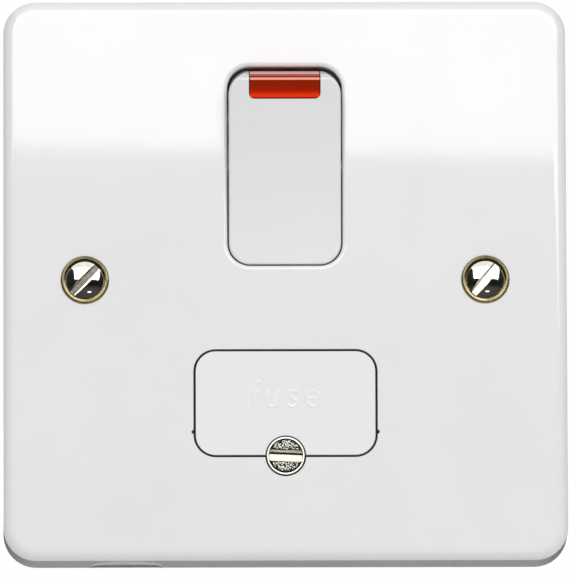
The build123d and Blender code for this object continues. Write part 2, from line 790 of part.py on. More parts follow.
fuse_carrier_screw.part.label = "fuse_carrier_screw"
export_step(fuse_carrier_screw.part, "parts/fuse_carrier_screw.step")

insert_front = collar_back + insert_post_short
with BuildPart() as carrier_screw_insert:
    with BuildSketch(facing(insert_front)):
        with Locations((0, carrier_screw_z)):
            Circle(insert_radius)
            Circle(carrier_screw_radius + turn_gap, mode=Mode.SUBTRACT)
    extrude(amount=-insert_length)

carrier_screw_insert.part.label = "carrier_screw_insert"
export_step(carrier_screw_insert.part, "parts/carrier_screw_insert.step")

# Terminals: brass blocks with a wire hole along Z and a clamping screw from behind
for name, x, z, side, earthed in terminals:
    front = block_front(earthed)
    outer_end = Plane(
        origin=(x, front + terminal_bore_inset, z + side * terminal_length / 2), z_dir=(0, 0, side)
    )
    with BuildPart() as terminal:
        with BuildSketch(facing(front)):
            with Locations((x, z)):
                RectangleRounded(terminal_width, terminal_length, terminal_corner)
        extrude(amount=-terminal_depth)
        with BuildSketch(outer_end):
            Circle(terminal_bore)
        extrude(amount=-terminal_bore_depth, mode=Mode.SUBTRACT)
        with BuildSketch(facing(front + terminal_bore_inset)):
            with Locations((x, z)):
                Circle(terminal_screw_radius + seat_gap)
        extrude(amount=terminal_bore_inset - terminal_depth, mode=Mode.SUBTRACT)
        with BuildSketch(facing(front)):
            with Locations((x, z)):
                Circle(terminal_neck)
        extrude(amount=strip_thick if earthed else front - strip_front)
        if not earthed:
            with BuildSketch(facing(strip_front)):
                with Locations((x, z)):
                    Circle(terminal_neck_head)
            extrude(amount=terminal_neck_head_height)
    terminal.part.label = name
    export_step(terminal.part, f"parts/{name}.step")

# Terminal screws, backed out so that a wire can go in
with BuildPart() as terminal_screws:
    for name, x, z, side, earthed in terminals:
        tip = block_front(earthed) + terminal_bore_inset + terminal_bore + terminal_screw_clear
        seat = block_front(earthed) + terminal_depth + terminal_screw_clear
        with BuildSketch(facing(tip)):
            with Locations((x, z)):
                Circle(terminal_screw_radius)
        extrude(amount=tip - seat)
        with BuildSketch(facing(seat)):
            with Locations((x, z)):
                Circle(terminal_screw_head)
        extrude(amount=-terminal_screw_head_height)
        with BuildSketch(facing(seat + terminal_screw_head_height)):
            with Locations((x, z)):
                Rectangle(2 * terminal_screw_head, terminal_screw_slot)
        extrude(amount=terminal_screw_slot_depth, mode=Mode.SUBTRACT)

terminal_screws.part.label = "terminal_screws"
export_step(terminal_screws.part, "parts/terminal_screws.step")

# Earth strap: lies on the back of the face, with a drawn cup for each fixing screw
cup_front = face_front - cup_proud
with BuildPart() as earth_strap:
    with BuildSketch(facing(face_back)):
        panel(-strap_length / 2, strap_length / 2, strap_bottom, strap_top)
        with Locations(*fixing_places):
            Circle(strap_pad)
    extrude(amount=-strip_thick)
    with BuildSketch(facing(face_back)):
        with Locations(*fixing_places):
            Circle(cup_radius)
    extrude(amount=face_back - cup_front)
    with BuildSketch(facing(face_back)):
        with Locations(*fixing_places):
            Circle(cup_radius - cup_wall)
    extrude(amount=face_back - cup_front, mode=Mode.SUBTRACT)
    fillet(earth_strap.edges().group_by(Axis.Y)[0], cup_edge)
    with BuildSketch(facing(face_back)):
        with Locations(*fixing_places):
            Circle(fixing_thread + shank_gap)
    extrude(amount=-strip_thick, mode=Mode.SUBTRACT)
    with BuildSketch(facing(face_back)):
        panel(
            strap_tab_x - strap_tab_width / 2,
            strap_tab_x + strap_tab_width / 2,
            strap_bottom,
            strap_bottom + strip_thick,
        )
    extrude(amount=face_back - tab_back)

earth_strap.part.label = "earth_strap"
export_step(earth_strap.part, "parts/earth_strap.step")


# Slot for the strap's tab in whatever the tab passes through
def tab_slot(mode):
    panel(
        strap_tab_x - strap_tab_width / 2 - slot_gap,
        strap_tab_x + strap_tab_width / 2 + slot_gap,
        strap_bottom - slot_gap,
        strap_bottom + strip_thick + slot_gap,
        mode=mode,
    )


# Earth bar behind the base, joining both earth terminals and the strap's tab
bar_half = earth_bar_width / 2
bar_end = terminal_length / 2
with BuildPart() as earth_bar:
    with BuildSketch(facing(floor_back)):
        panel(-bar_half, bar_half, earth_bar_z - bar_half, supply_z + bar_end)
        panel(-bar_half, earth_load_x + bar_half, earth_bar_z - bar_half, earth_bar_z + bar_half)
        panel(earth_load_x - bar_half, earth_load_x + bar_half, load_z - bar_end, earth_bar_z + bar_half)
        tab_slot(Mode.SUBTRACT)
        with Locations((0, supply_z), (earth_load_x, load_z)):
            Circle(terminal_neck + seat_gap, mode=Mode.SUBTRACT)
    extrude(amount=-strip_thick)

earth_bar.part.label = "earth_bar"
export_step(earth_bar.part, "parts/earth_bar.step")

# Base: open tray in front, terminal towers behind, each open on its outer side for the wires
screw_seat = base_front + base_screw_web
bearing_front = pivot_y + trunnion_radius + slot_gap
bearing_root_front = collar_back + slot_gap
with BuildPart() as base:
    with BuildSketch(facing(floor_back)):
        base_outline(0)
        fillet(vertices(), ear_width * ear_corner_share)
    extrude(amount=floor_back - base_front)
    with BuildSketch(facing(floor_front)):
        base_outline(base_wall)
    extrude(amount=floor_front - base_front, mode=Mode.SUBTRACT)
    with BuildSketch(facing(floor_front)):
        with Locations(*base_screw_places):
            Circle(column_radius)
    extrude(amount=floor_front - base_front)
    with BuildSketch(facing(floor_back)):
        with Locations(*base_screw_places):
            Circle(base_screw_head + slot_gap)
    extrude(amount=floor_back - screw_seat, mode=Mode.SUBTRACT)
    with BuildSketch(facing(floor_back)):
        with Locations(*base_screw_places):
            Circle(base_screw_radius + seat_gap)
    extrude(amount=floor_back - base_front, mode=Mode.SUBTRACT)
    with BuildSketch(facing(floor_front)):
        for side in (-1, 1):
            root = sorted((side * aperture_width / 2, side * (aperture_width / 2 + bearing_root_width)))
            rise = bearing_root_height / 2
            panel(root[0], root[1], rocker_z - rise, rocker_z + rise)
    extrude(amount=floor_front - bearing_root_front)
    with BuildSketch(facing(floor_front)):
        for side in (-1, 1):
            inner = aperture_width / 2 + bearing_inset
            tongue = sorted((side * inner, side * (collar_half - bearing_inset)))
            rise = trunnion_radius + turn_gap - slot_gap
            panel(tongue[0], tongue[1], rocker_z - rise, rocker_z + rise)
    extrude(amount=floor_front - bearing_front)
    with BuildSketch(facing(floor_front)):
        with Locations((0, carrier_screw_z)):
            Circle(insert_post)
    extrude(amount=floor_front - insert_front)
    with BuildSketch(facing(insert_front)):
        with Locations((0, carrier_screw_z)):
            Circle(insert_radius + seat_gap)
    extrude(amount=-insert_length, mode=Mode.SUBTRACT)
    with BuildSketch(facing(floor_front)):
        half = lamp_post_width / 2
        panel(-half, half, lamp_z - lamp_post_height / 2, lamp_z + lamp_post_height / 2)
    extrude(amount=floor_front - lamp_y)
    with BuildSketch(Plane.YZ):
        with Locations((lamp_y, lamp_z)):
            Circle(lamp_radius + seat_gap)
    extrude(amount=lamp_post_width, both=True, mode=Mode.SUBTRACT)
    with BuildSketch(facing(floor_front)):
        with Locations((pole_x, upper_peg_z), (-pole_x, upper_peg_z)):
            Circle(peg_radius)
        with Locations((pole_x, line_peg_z), (neutral_load_x, neutral_peg_z)):
            Circle(peg_radius)
    extrude(amount=strip_thick + peg_head)
    with BuildSketch(facing(floor_front)):
        with Locations((clip_x, carrier_z), (-clip_x, carrier_z)):
            Circle(peg_radius)
    extrude(amount=strip_thick + clip_thick + peg_head)
    for name, x, z, side, earthed in terminals:
        with BuildSketch(facing(floor_back)):
            with Locations((x, z)):
                RectangleRounded(tower_width, tower_length, tower_corner)
        extrude(amount=floor_back - base_back)
    for name, x, z, side, earthed in terminals:
        with BuildSketch(facing(base_back)):
            pocket = sorted((z - side * pocket_length / 2, z + side * tower_length))
            panel(x - pocket_width / 2, x + pocket_width / 2, pocket[0], pocket[1])
        extrude(amount=base_back - floor_back, mode=Mode.SUBTRACT)
        if earthed:
            with BuildSketch(facing(floor_back)):
                inner = sorted((0, z))
                reach = bar_half + slot_gap
                panel(x - reach, x + reach, inner[0], inner[1])
            extrude(amount=-strip_thick - slot_gap, mode=Mode.SUBTRACT)
        else:
            with BuildSketch(facing(floor_front)):
                with Locations((x, z)):
                    Circle(terminal_neck + seat_gap)
            extrude(amount=-floor_wall, mode=Mode.SUBTRACT)
    with BuildSketch(facing(floor_front)):
        tab_slot(Mode.ADD)
    extrude(amount=-floor_wall, mode=Mode.SUBTRACT)

base.part.label = "base"
export_step(base.part, "parts/base.step")

# Base screws: four screws from behind into the plate's bosses
with BuildPart() as base_screws:
    with BuildSketch(facing(screw_seat)):
        with Locations(*base_screw_places):
            Circle(base_screw_head)
    extrude(amount=-base_screw_head_height)
    with BuildSketch(facing(screw_seat)):
        with Locations(*base_screw_places):
            Circle(base_screw_radius)
    extrude(amount=base_screw_web + base_screw_bite)
    with BuildSketch(facing(screw_seat + base_screw_head_height)):
        with Locations(*base_screw_places):
            Rectangle(base_screw_head, screw_cross)
            Rectangle(screw_cross, base_screw_head)
    extrude(amount=screw_cross_depth, mode=Mode.SUBTRACT)

base_screws.part.label = "base_screws"
export_step(base_screws.part, "parts/base_screws.step")

# Fixing screws: domed heads in the strap's cups, threads standing out behind the plate
head_top = cup_front - fixing_head_proud
head_half = fixing_head / 2
dome_rim = (fixing_head, fixing_dome - sqrt(fixing_dome**2 - fixing_head**2))
dome_middle = (head_half, fixing_dome - sqrt(fixing_dome**2 - head_half**2))
with BuildPart() as fixing_screws:
    for x, z in fixing_places:
        with BuildSketch(Plane(origin=(x, head_top, z), x_dir=(1, 0, 0), z_dir=(0, 0, 1))):
            with BuildLine():
                ThreePointArc((0, 0), dome_middle, dome_rim)
                head_back_corner = (fixing_head, face_back - head_top)
                Polyline(dome_rim, head_back_corner, (0, face_back - head_top), (0, 0))
            make_face()
        revolve(axis=Axis((x, head_top, z), (0, 1, 0)))
    with BuildSketch(facing(head_top)):
        with Locations(fixing_places[0]):
            Rectangle(2 * fixing_head, fixing_slot, rotation=left_slot_turn)
        with Locations(fixing_places[1]):
            Rectangle(2 * fixing_head, fixing_slot, rotation=right_slot_turn)
    extrude(amount=-fixing_slot_depth, mode=Mode.SUBTRACT)
    with BuildSketch(facing(face_back)):
        with Locations(*fixing_places):
            Circle(fixing_shank)
    extrude(amount=face_back - fixing_thread_start)
    with BuildSketch(facing(fixing_thread_start)):
        with Locations(*fixing_places):
            Circle(fixing_thread)
    extrude(amount=-fixing_thread_length)
    chamfer(fixing_screws.edges().group_by(Axis.Y)[-1], fixing_point)

fixing_screws.part.label = "fixing_screws"
export_step(fixing_screws.part, "parts/fixing_screws.step")

# Neon lamp, its resistor and its leads
with BuildPart() as neon_lamp:
    with BuildSketch(Plane.YZ.offset(-lamp_length / 2)):
        with Locations((lamp_y, lamp_z)):
            Circle(lamp_radius)
    extrude(amount=lamp_length)
    fillet(neon_lamp.edges(), lamp_tip)

neon_lamp.part.label = "neon_lamp"
export_step(neon_lamp.part, "parts/neon_lamp.step")

resistor_start = lamp_y + resistor_front
resistor_end = resistor_start + resistor_length
with BuildPart() as neon_resistor:
    with BuildSketch(facing(resistor_start)):
        with Locations((lead_x, lead_z)):
            Circle(resistor_radius)
    extrude(amount=-resistor_length)
    fillet(neon_resistor.edges(), resistor_edge)
    with BuildSketch(facing(resistor_end)):
        with Locations((lead_x, lead_z)):
            Circle(lead_radius)
    extrude(amount=resistor_end - strip_front)

neon_resistor.part.label = "neon_resistor"
export_step(neon_resistor.part, "parts/neon_resistor.step")

for pole, side in poles:
    lead_end = resistor_start if pole == "line" else strip_front
    with BuildPart() as neon_lead:
        with BuildLine() as route:
            FilletPolyline(
                (side * lamp_length / 2, lamp_y, lamp_z),
                (side * lead_x, lamp_y, lamp_z),
                (side * lead_x, lamp_y, lead_z),
                (side * lead_x, lead_end, lead_z),
                radius=lead_bend,
            )
        with BuildSketch(Plane(origin=route.line @ 0, z_dir=route.line % 0)):
            Circle(lead_radius)
        sweep(path=route.line)
    neon_lead.part.label = f"neon_lead_{pole}"
    export_step(neon_lead.part, f"parts/neon_lead_{pole}.step")

# Cord clamp: arched bar on two of the plate's bosses, above the flex outlet
clamp_length = clamp_spacing + clamp_bar_width
clamp_back = clamp_bar_thick - clamp_boss_short
with BuildPart() as cord_clamp:
    with BuildSketch(facing(-clamp_boss_short)):
        with Locations((outlet_x, clamp_z)):
            SlotOverall(clamp_length, clamp_bar_width)
        with Locations(*clamp_places):
            Circle(clamp_screw_radius + seat_gap, mode=Mode.SUBTRACT)
    extrude(amount=-clamp_bar_thick)
    with BuildSketch(Plane.XY.offset(clamp_z)):
        arch_radius = (clamp_arch**2 + clamp_arch_depth**2) / (2 * clamp_arch_depth)
        with Locations((outlet_x, clamp_arch_depth - clamp_boss_short - arch_radius)):
            Circle(arch_radius)
    extrude(amount=clamp_bar_width, both=True, mode=Mode.SUBTRACT)

cord_clamp.part.label = "cord_clamp"
export_step(cord_clamp.part, "parts/cord_clamp.step")

with BuildPart() as cord_clamp_screws:
    with BuildSketch(facing(clamp_back)):
        with Locations(*clamp_places):
            Circle(clamp_screw_head)
    extrude(amount=-clamp_screw_head_height)
    with BuildSketch(facing(clamp_back)):
        with Locations(*clamp_places):
            Circle(clamp_screw_radius)
    extrude(amount=clamp_bar_thick + clamp_screw_bite)
    with BuildSketch(facing(clamp_back + clamp_screw_head_height)):
        with Locations(*clamp_places):
            Rectangle(2 * clamp_screw_head, screw_cross)
    extrude(amount=screw_cross_depth, mode=Mode.SUBTRACT)

cord_clamp_screws.part.label = "cord_clamp_screws"
export_step(cord_clamp_screws.part, "parts/cord_clamp_screws.step")
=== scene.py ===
import bmesh
import bpy
import json
import math
from mathutils import Matrix, Vector


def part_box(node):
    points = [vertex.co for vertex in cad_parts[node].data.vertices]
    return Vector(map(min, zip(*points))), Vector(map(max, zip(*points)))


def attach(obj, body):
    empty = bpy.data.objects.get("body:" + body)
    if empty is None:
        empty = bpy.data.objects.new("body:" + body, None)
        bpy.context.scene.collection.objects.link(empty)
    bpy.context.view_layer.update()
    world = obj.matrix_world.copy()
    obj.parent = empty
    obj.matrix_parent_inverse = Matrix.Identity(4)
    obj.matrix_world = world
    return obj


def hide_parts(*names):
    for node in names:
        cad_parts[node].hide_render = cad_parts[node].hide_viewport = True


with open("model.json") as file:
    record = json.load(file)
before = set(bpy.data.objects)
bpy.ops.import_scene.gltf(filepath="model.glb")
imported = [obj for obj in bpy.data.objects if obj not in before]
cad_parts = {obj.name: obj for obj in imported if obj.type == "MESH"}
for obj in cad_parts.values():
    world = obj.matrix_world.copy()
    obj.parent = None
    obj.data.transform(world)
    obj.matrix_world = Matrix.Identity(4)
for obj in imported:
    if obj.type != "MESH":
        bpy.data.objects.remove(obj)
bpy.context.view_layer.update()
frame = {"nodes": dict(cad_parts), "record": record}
nodes = frame["nodes"]
scene = bpy.context.scene
mm = 0.001  # one millimetre in metres

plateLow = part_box("front_plate")[0]
faceY = plateLow.y  # front of the plate


# helpers for nodes, objects and meshes

def newNode(tree, kind, **values):
    node = tree.nodes.new(kind)
    for key, value in values.items():
        if key in node.inputs:
            node.inputs[key].default_value = value
        else:
            setattr(node, key, value)
    return node


def addNode(tree, kind, **values):
    return newNode(tree, "ShaderNode" + kind, **values)


def geoNode(tree, kind, **values):
    return newNode(tree, "GeometryNode" + kind, **values)


def newObject(name, data):
    made = bpy.data.objects.new(name, data)
    scene.collection.objects.link(made)
    return made


def bakedMesh(holder):  # the holder's mesh with its modifiers; the holder itself goes
    graph = bpy.context.evaluated_depsgraph_get()
    mesh = bpy.data.meshes.new_from_object(holder.evaluated_get(graph))
    bpy.data.objects.remove(holder)
    return mesh


def meshOf(name, shape):
    mesh = bpy.data.meshes.new(name)
    shape.to_mesh(mesh)
    shape.free()
    return mesh


# materials

def newFinish(name):
    finish = bpy.data.materials.new(name)
    finish.use_nodes = True
    tree = finish.node_tree
    return finish, tree, tree.nodes["Principled BSDF"]


def noiseFrom(tree, scale, detail=3.0, stretch=(1, 1, 1), roughness=0.55):
    coords = addNode(tree, "TexCoord")
    mapping = addNode(tree, "Mapping", Scale=stretch)
    noise = addNode(tree, "TexNoise", Scale=scale, Detail=detail, Roughness=roughness)
    tree.links.new(coords.outputs["Object"], mapping.inputs["Vector"])
    tree.links.new(mapping.outputs["Vector"], noise.inputs["Vector"])
    return noise.outputs["Fac"]


def rampFrom(tree, source, stops):
    ramp = addNode(tree, "ValToRGB")
    band = ramp.color_ramp.elements
    while len(band) < len(stops):
        band.new(0.5)
    for slot, (place, colour) in zip(band, stops):
        slot.position = place
        slot.color = (*colour, 1)
    tree.links.new(source, ramp.inputs["Fac"])
    return ramp.outputs["Color"]


def spanFrom(tree, source, low, high):
    span = addNode(tree, "MapRange")
    span.inputs["To Min"].default_value = low
    span.inputs["To Max"].default_value = high
    tree.links.new(source, span.inputs["Value"])
    return span.outputs["Result"]


def placeAlong(tree, axis, low, high, first=0, last=1):
    coords = addNode(tree, "TexCoord")
    split = addNode(tree, "SeparateXYZ")
    span = addNode(tree, "MapRange")
    for key, value in zip(("From Min", "From Max", "To Min", "To Max"), (low, high, first, last)):
        span.inputs[key].default_value = value
    tree.links.new(coords.outputs["Object"], split.inputs["Vector"])
    tree.links.new(split.outputs[axis], span.inputs["Value"])
    return span.outputs["Result"]


def multiplied(tree, colour, by, share=1):
    mix = addNode(tree, "Mix", data_type="RGBA", blend_type="MULTIPLY")
    mix.inputs["Factor"].default_value = share
    tree.links.new(colour, mix.inputs["A"])
    tree.links.new(by, mix.inputs["B"])
    return mix.outputs["Result"]


def bumpFrom(tree, source, shader, strength, distance):
    bump = addNode(tree, "Bump", Strength=strength, Distance=distance)
    tree.links.new(source, bump.inputs["Height"])
    tree.links.new(bump.outputs["Normal"], shader.inputs["Normal"])


noiseDetail = {"grain": 4.0, "broad": 2.0}


def shade(look):
    finish, tree, shader = newFinish(look["name"])
    shader.inputs["Metallic"].default_value = look.get("metal", 0)
    shader.inputs["IOR"].default_value = look.get("ior", 1.5)
    grain = noiseFrom(tree, look["grain"], noiseDetail["grain"], look.get("stretch", (1, 1, 1)))
    broad = noiseFrom(tree, look["broad"], noiseDetail["broad"])
    colour = rampFrom(tree, broad, look["colours"])
    if "paintedShadeZ" in look:  # painted shade: darker from a low to a high z
        low, high, least = look["paintedShadeZ"]
        colour = multiplied(tree, colour, placeAlong(tree, "Z", low, high, 1, least))
    tree.links.new(colour, shader.inputs["Base Color"])
    tree.links.new(spanFrom(tree, grain, *look["rough"]), shader.inputs["Roughness"])
    bumpFrom(tree, grain, shader, look["bump"], look["bumpDepth"])
    return finish


glossLook = {
    "name": "glossWhite",  # moulded plate
    "colours": [(0.3, (0.765, 0.765, 0.77)), (0.7, (0.785, 0.785, 0.785))],
    "broad": 60, "grain": 900, "ior": 1.55,
    "rough": (0.026, 0.036), "bump": 0.02, "bumpDepth": 0.00002,
}
glossWhite = shade(glossLook)
rockerWhite = shade({
    **glossLook, "name": "rockerWhite", "paintedShadeZ": (4 * mm, 29 * mm, 0.915),  # painted shade: a little greyer towards the lens
})
carrierWhite = shade({
    **glossLook, "name": "carrierWhite",
    "colours": [(0.3, (0.79, 0.79, 0.795)), (0.7, (0.81, 0.81, 0.81))],
})
satinBase = shade({
    "name": "satinBase",  # base moulding behind the plate
    "colours": [(0.3, (0.66, 0.655, 0.635)), (0.7, (0.71, 0.705, 0.69))],
    "broad": 45, "grain": 2600, "rough": (0.36, 0.52), "bump": 0.12, "bumpDepth": 0.00003,
})
naturalNylon = shade({
    "name": "naturalNylon",
    "colours": [(0.3, (0.66, 0.64, 0.56)), (0.7, (0.72, 0.70, 0.62))],
    "broad": 300, "grain": 3000, "rough": (0.4, 0.5), "bump": 0.08, "bumpDepth": 0.00002,
})
pressedBrass = shade({
    "name": "pressedBrass", "metal": 1,
    "colours": [(0.25, (0.60, 0.43, 0.17)), (0.75, (0.74, 0.55, 0.25))],
    "broad": 140, "grain": 1400, "stretch": (1, 1, 0.15),
    "rough": (0.2, 0.36), "bump": 0.06, "bumpDepth": 0.00002,
})
goldBrass = shade({
    "name": "goldBrass", "metal": 1,  # strap and the cups round the fixing screws, with painted shade darkening their tops
    "colours": [(0.25, (0.33, 0.268, 0.135)), (0.75, (0.455, 0.385, 0.205))],
    # painted shade: the colour falls from full at z -2.8 mm to a third at 3.2 mm and above
    "paintedShadeZ": (-2.8 * mm, 3.2 * mm, 0.33),
    "broad": 500, "grain": 2500, "rough": (0.13, 0.21), "bump": 0.05, "bumpDepth": 0.00001,
})
brightNickel = shade({
    "name": "brightNickel", "metal": 1,
    "colours": [(0.3, (0.80, 0.78, 0.73)), (0.7, (0.88, 0.86, 0.82))],
    "broad": 900, "grain": 1800, "rough": (0.03, 0.09), "bump": 0.1, "bumpDepth": 0.00001,
})
milledNickel = shade({
    "name": "milledNickel", "metal": 1,  # floors and sides of the screw slots
    "colours": [(0.3, (0.66, 0.62, 0.54)), (0.7, (0.80, 0.77, 0.70))],
    "broad": 1500, "grain": 3500, "rough": (0.26, 0.42), "bump": 0.15, "bumpDepth": 0.00002,
})
brushedNickel = shade({
    "name": "brushedNickel", "metal": 1,  # smoother slot of the left fixing screw
    "colours": [(0.3, (0.60, 0.55, 0.46)), (0.7, (0.74, 0.69, 0.60))],
    "broad": 1500, "grain": 2600, "rough": (0.075, 0.125), "bump": 0.1, "bumpDepth": 0.00001,
})
satinNickel = shade({
    "name": "satinNickel", "metal": 1,  # flat rim of the carrier screw
    "colours": [(0.3, (0.84, 0.83, 0.80)), (0.7, (0.92, 0.91, 0.89))],
    "broad": 1500, "grain": 3500, "rough": (0.3, 0.4), "bump": 0.1, "bumpDepth": 0.00001,
})
paintedShadeBlack = shade({
    "name": "paintedShadeBlack", "metal": 1,  # painted shade: black on the side, groove and cut of the carrier screw, where shade falls
    "colours": [(0.3, (0.016, 0.015, 0.014)), (0.7, (0.03, 0.028, 0.026))],
    "broad": 900, "grain": 3000, "rough": (0.4, 0.55), "bump": 0.1, "bumpDepth": 0.00001,
})
springWire = shade({
    "name": "springWire", "metal": 1,
    "colours": [(0.3, (0.42, 0.43, 0.45)), (0.7, (0.56, 0.57, 0.59))],
    "broad": 700, "grain": 3000, "rough": (0.22, 0.32), "bump": 0.05, "bumpDepth": 0.00001,
})
silverAlloy = shade({
    "name": "silverAlloy", "metal": 1,
    "colours": [(0.3, (0.70, 0.70, 0.67)), (0.7, (0.82, 0.82, 0.80))],
    "broad": 800, "grain": 3500, "rough": (0.3, 0.45), "bump": 0.1, "bumpDepth": 0.00001,
})
yellowZinc = shade({
    "name": "yellowZinc", "metal": 1,  # passivated steel screws at the back
    "colours": [(0.2, (0.52, 0.43, 0.24)), (0.5, (0.63, 0.56, 0.38)), (0.8, (0.60, 0.52, 0.42))],
    "broad": 400, "grain": 2000, "rough": (0.24, 0.38), "bump": 0.08, "bumpDepth": 0.00001,
})
ceramicTube = shade({
    "name": "ceramicTube",
    "colours": [(0.3, (0.74, 0.71, 0.63)), (0.7, (0.80, 0.78, 0.71))],
    "broad": 500, "grain": 4000, "rough": (0.55, 0.7), "bump": 0.2, "bumpDepth": 0.00002,
})
tinnedCopper = shade({
    "name": "tinnedCopper", "metal": 1,
    "colours": [(0.3, (0.58, 0.57, 0.55)), (0.7, (0.70, 0.69, 0.67))],
    "broad": 900, "grain": 3000, "rough": (0.3, 0.42), "bump": 0.05, "bumpDepth": 0.00001,
})
slitShadeGrey = shade({
    "name": "slitShadeGrey",  # painted shade: dull grey in the slit of the flex outlet, where shade falls
    "colours": [(0.3, (0.27, 0.27, 0.23)), (0.7, (0.33, 0.33, 0.285))],
    "broad": 500, "grain": 2600, "rough": (0.6, 0.8), "bump": 0.1, "bumpDepth": 0.00001,
})


def redLensFinish():
    # painted light: foot, middle and top paint the lens's glow, brightest at the foot and darker to the top;
    # gleam, crest and paintedLitPink are painted highlights and painted light on its rounded top; edge and
    # line are painted shade
    look = {
        "top": (0.208, 0.0135, 0.001), "middle": (0.30, 0.013, 0.001), "foot": (0.825, 0.034, 0.004),
        "edge": (0.10, 0.006, 0.003), "line": (0.13, 0.006, 0.004), "paintedLitPink": (0.42, 0.07, 0.062),
        "gleam": (0.8, 0.24, 0.15), "crest": (1.0, 0.58, 0.5),
        "bands": [
            (0.02, "edge"), (0.045, "foot"), (0.08, "foot"), (0.26, "middle"), (0.565, "top"),
            (0.59, "gleam"), (0.65, "gleam"), (0.67, "line"), (0.72, "line"), (0.735, "paintedLitPink"),
            (0.81, "paintedLitPink"), (0.83, "crest"), (0.96, "crest"), (0.98, "line"),
        ],
        "shine": [(0.65, 0.5), (0.67, 0.03), (0.76, 0.03), (0.83, 0.5)],  # dull at the line between the bands
        "side": 5.35 * mm, "sideShadeWidth": 0.16 * mm,
        "cells": 2400, "cellsRandom": 0.12, "cellShare": 0.5,
        "cellTints": [(0.1, (1.5, 1.3, 1.3)), (0.45, (1, 1, 1))],
        "grain": 1200, "rough": (0.05, 0.1), "ior": 1.52,
    }
    low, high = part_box("neon_lens")
    finish, tree, shader = newFinish("redLens")
    height = placeAlong(tree, "Z", low.z, high.z)
    body = rampFrom(tree, height, [(place, look[key]) for place, key in look["bands"]])
    shine = rampFrom(tree, height, [(place, (level,) * 3) for place, level in look["shine"]])
    tree.links.new(shine, shader.inputs["Specular IOR Level"])
    coords = addNode(tree, "TexCoord")
    split = addNode(tree, "SeparateXYZ")
    fromMiddle = addNode(tree, "Math", operation="ABSOLUTE")
    sideShade = addNode(tree, "MapRange")  # painted shade: dark line down both sides, where the lens meets the rocker
    sideShade.inputs["From Min"].default_value = look["side"] - look["sideShadeWidth"]
    sideShade.inputs["From Max"].default_value = look["side"] - look["sideShadeWidth"] / 2
    tree.links.new(coords.outputs["Object"], split.inputs["Vector"])
    tree.links.new(split.outputs["X"], fromMiddle.inputs[0])
    tree.links.new(fromMiddle.outputs[0], sideShade.inputs["Value"])
    withSideShade = addNode(tree, "Mix", data_type="RGBA")
    withSideShade.inputs["B"].default_value = (*look["edge"], 1)
    tree.links.new(sideShade.outputs["Result"], withSideShade.inputs["Factor"])
    tree.links.new(body, withSideShade.inputs["A"])
    # small prisms on the inner face
    cells = addNode(tree, "TexVoronoi", Scale=look["cells"], Randomness=look["cellsRandom"])
    tree.links.new(coords.outputs["Object"], cells.inputs["Vector"])
    dots = rampFrom(tree, cells.outputs["Distance"], look["cellTints"])
    colour = multiplied(tree, withSideShade.outputs["Result"], dots, look["cellShare"])
    tree.links.new(colour, shader.inputs["Base Color"])
    grain = noiseFrom(tree, look["grain"])
    tree.links.new(spanFrom(tree, grain, *look["rough"]), shader.inputs["Roughness"])
    shader.inputs["IOR"].default_value = look["ior"]
    return finish


def lampGlassFinish():
    look = {
        "tints": [(0.3, (0.93, 0.95, 0.96)), (0.7, (0.97, 0.97, 0.96))],
        "grain": 600, "rough": (0.02, 0.06), "through": 0.9,
    }
    finish, tree, shader = newFinish("lampGlass")
    grain = noiseFrom(tree, look["grain"])
    tree.links.new(rampFrom(tree, grain, look["tints"]), shader.inputs["Base Color"])
    tree.links.new(spanFrom(tree, grain, *look["rough"]), shader.inputs["Roughness"])
    shader.inputs["Transmission Weight"].default_value = look["through"]
    return finish


def resistorFinish():
    look = {
        "coat": (0.47, 0.34, 0.18), "brown": (0.10, 0.035, 0.012), "gold": (0.45, 0.30, 0.08),
        "bands": [
            (0, "coat"), (0.14, "brown"), (0.22, "coat"), (0.32, "brown"), (0.4, "coat"),
            (0.62, "gold"), (0.7, "coat"),
        ],
        "grain": 2000, "rough": (0.3, 0.45),
    }
    low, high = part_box("neon_resistor")
    finish, tree, shader = newFinish("resistorCoat")
    along = placeAlong(tree, "Y", low.y, high.y)
    ramp = rampFrom(tree, along, [(place, look[key]) for place, key in look["bands"]])
    ramp.node.color_ramp.interpolation = "CONSTANT"
    tree.links.new(ramp, shader.inputs["Base Color"])
    grain = noiseFrom(tree, look["grain"])
    tree.links.new(spanFrom(tree, grain, *look["rough"]), shader.inputs["Roughness"])
    return finish


slotFinish = {
    "white_plate": glossWhite, "base_moulding": satinBase, "red_lens": redLensFinish(),
    "plunger_nylon": naturalNylon, "spring_steel": springWire, "brass": pressedBrass,
    "silver_tip": silverAlloy, "fuse_ceramic": ceramicTube, "nickel": brightNickel,
    "screw_steel": yellowZinc, "lamp_glass": lampGlassFinish(), "resistor_body": resistorFinish(),
    "tinned_wire": tinnedCopper,
}
nodeFinish = {"earth_strap": goldBrass, "rocker": rockerWhite, "fuse_carrier": carrierWhite}
for part in frame["record"]["subparts"]:
    skin = nodes[part["node"]].data.materials
    skin.clear()
    skin.append(slotFinish[part["material_slot"]])
for node, finish in nodeFinish.items():
    nodes[node].data.materials[0] = finish
print("finishes:", len(slotFinish), "slots and", len(nodeFinish), "nodes of their own")


# node trees for threads and grit

def newTree(name, sizes):
    tree = bpy.data.node_groups.new(name, "GeometryNodeTree")
    tree.interface.new_socket("Geometry", in_out="INPUT", socket_type="NodeSocketGeometry")
    for key, value in sizes.items():
        kind = "NodeSocketInt" if isinstance(value, int) else "NodeSocketFloat"
        tree.interface.new_socket(key, in_out="INPUT", socket_type=kind)
    tree.interface.new_socket("Finish", in_out="INPUT", socket_type="NodeSocketMaterial")
    tree.interface.new_socket("Geometry", in_out="OUTPUT", socket_type="NodeSocketGeometry")
    return tree, tree.nodes.new("NodeGroupInput"), tree.nodes.new("NodeGroupOutput")


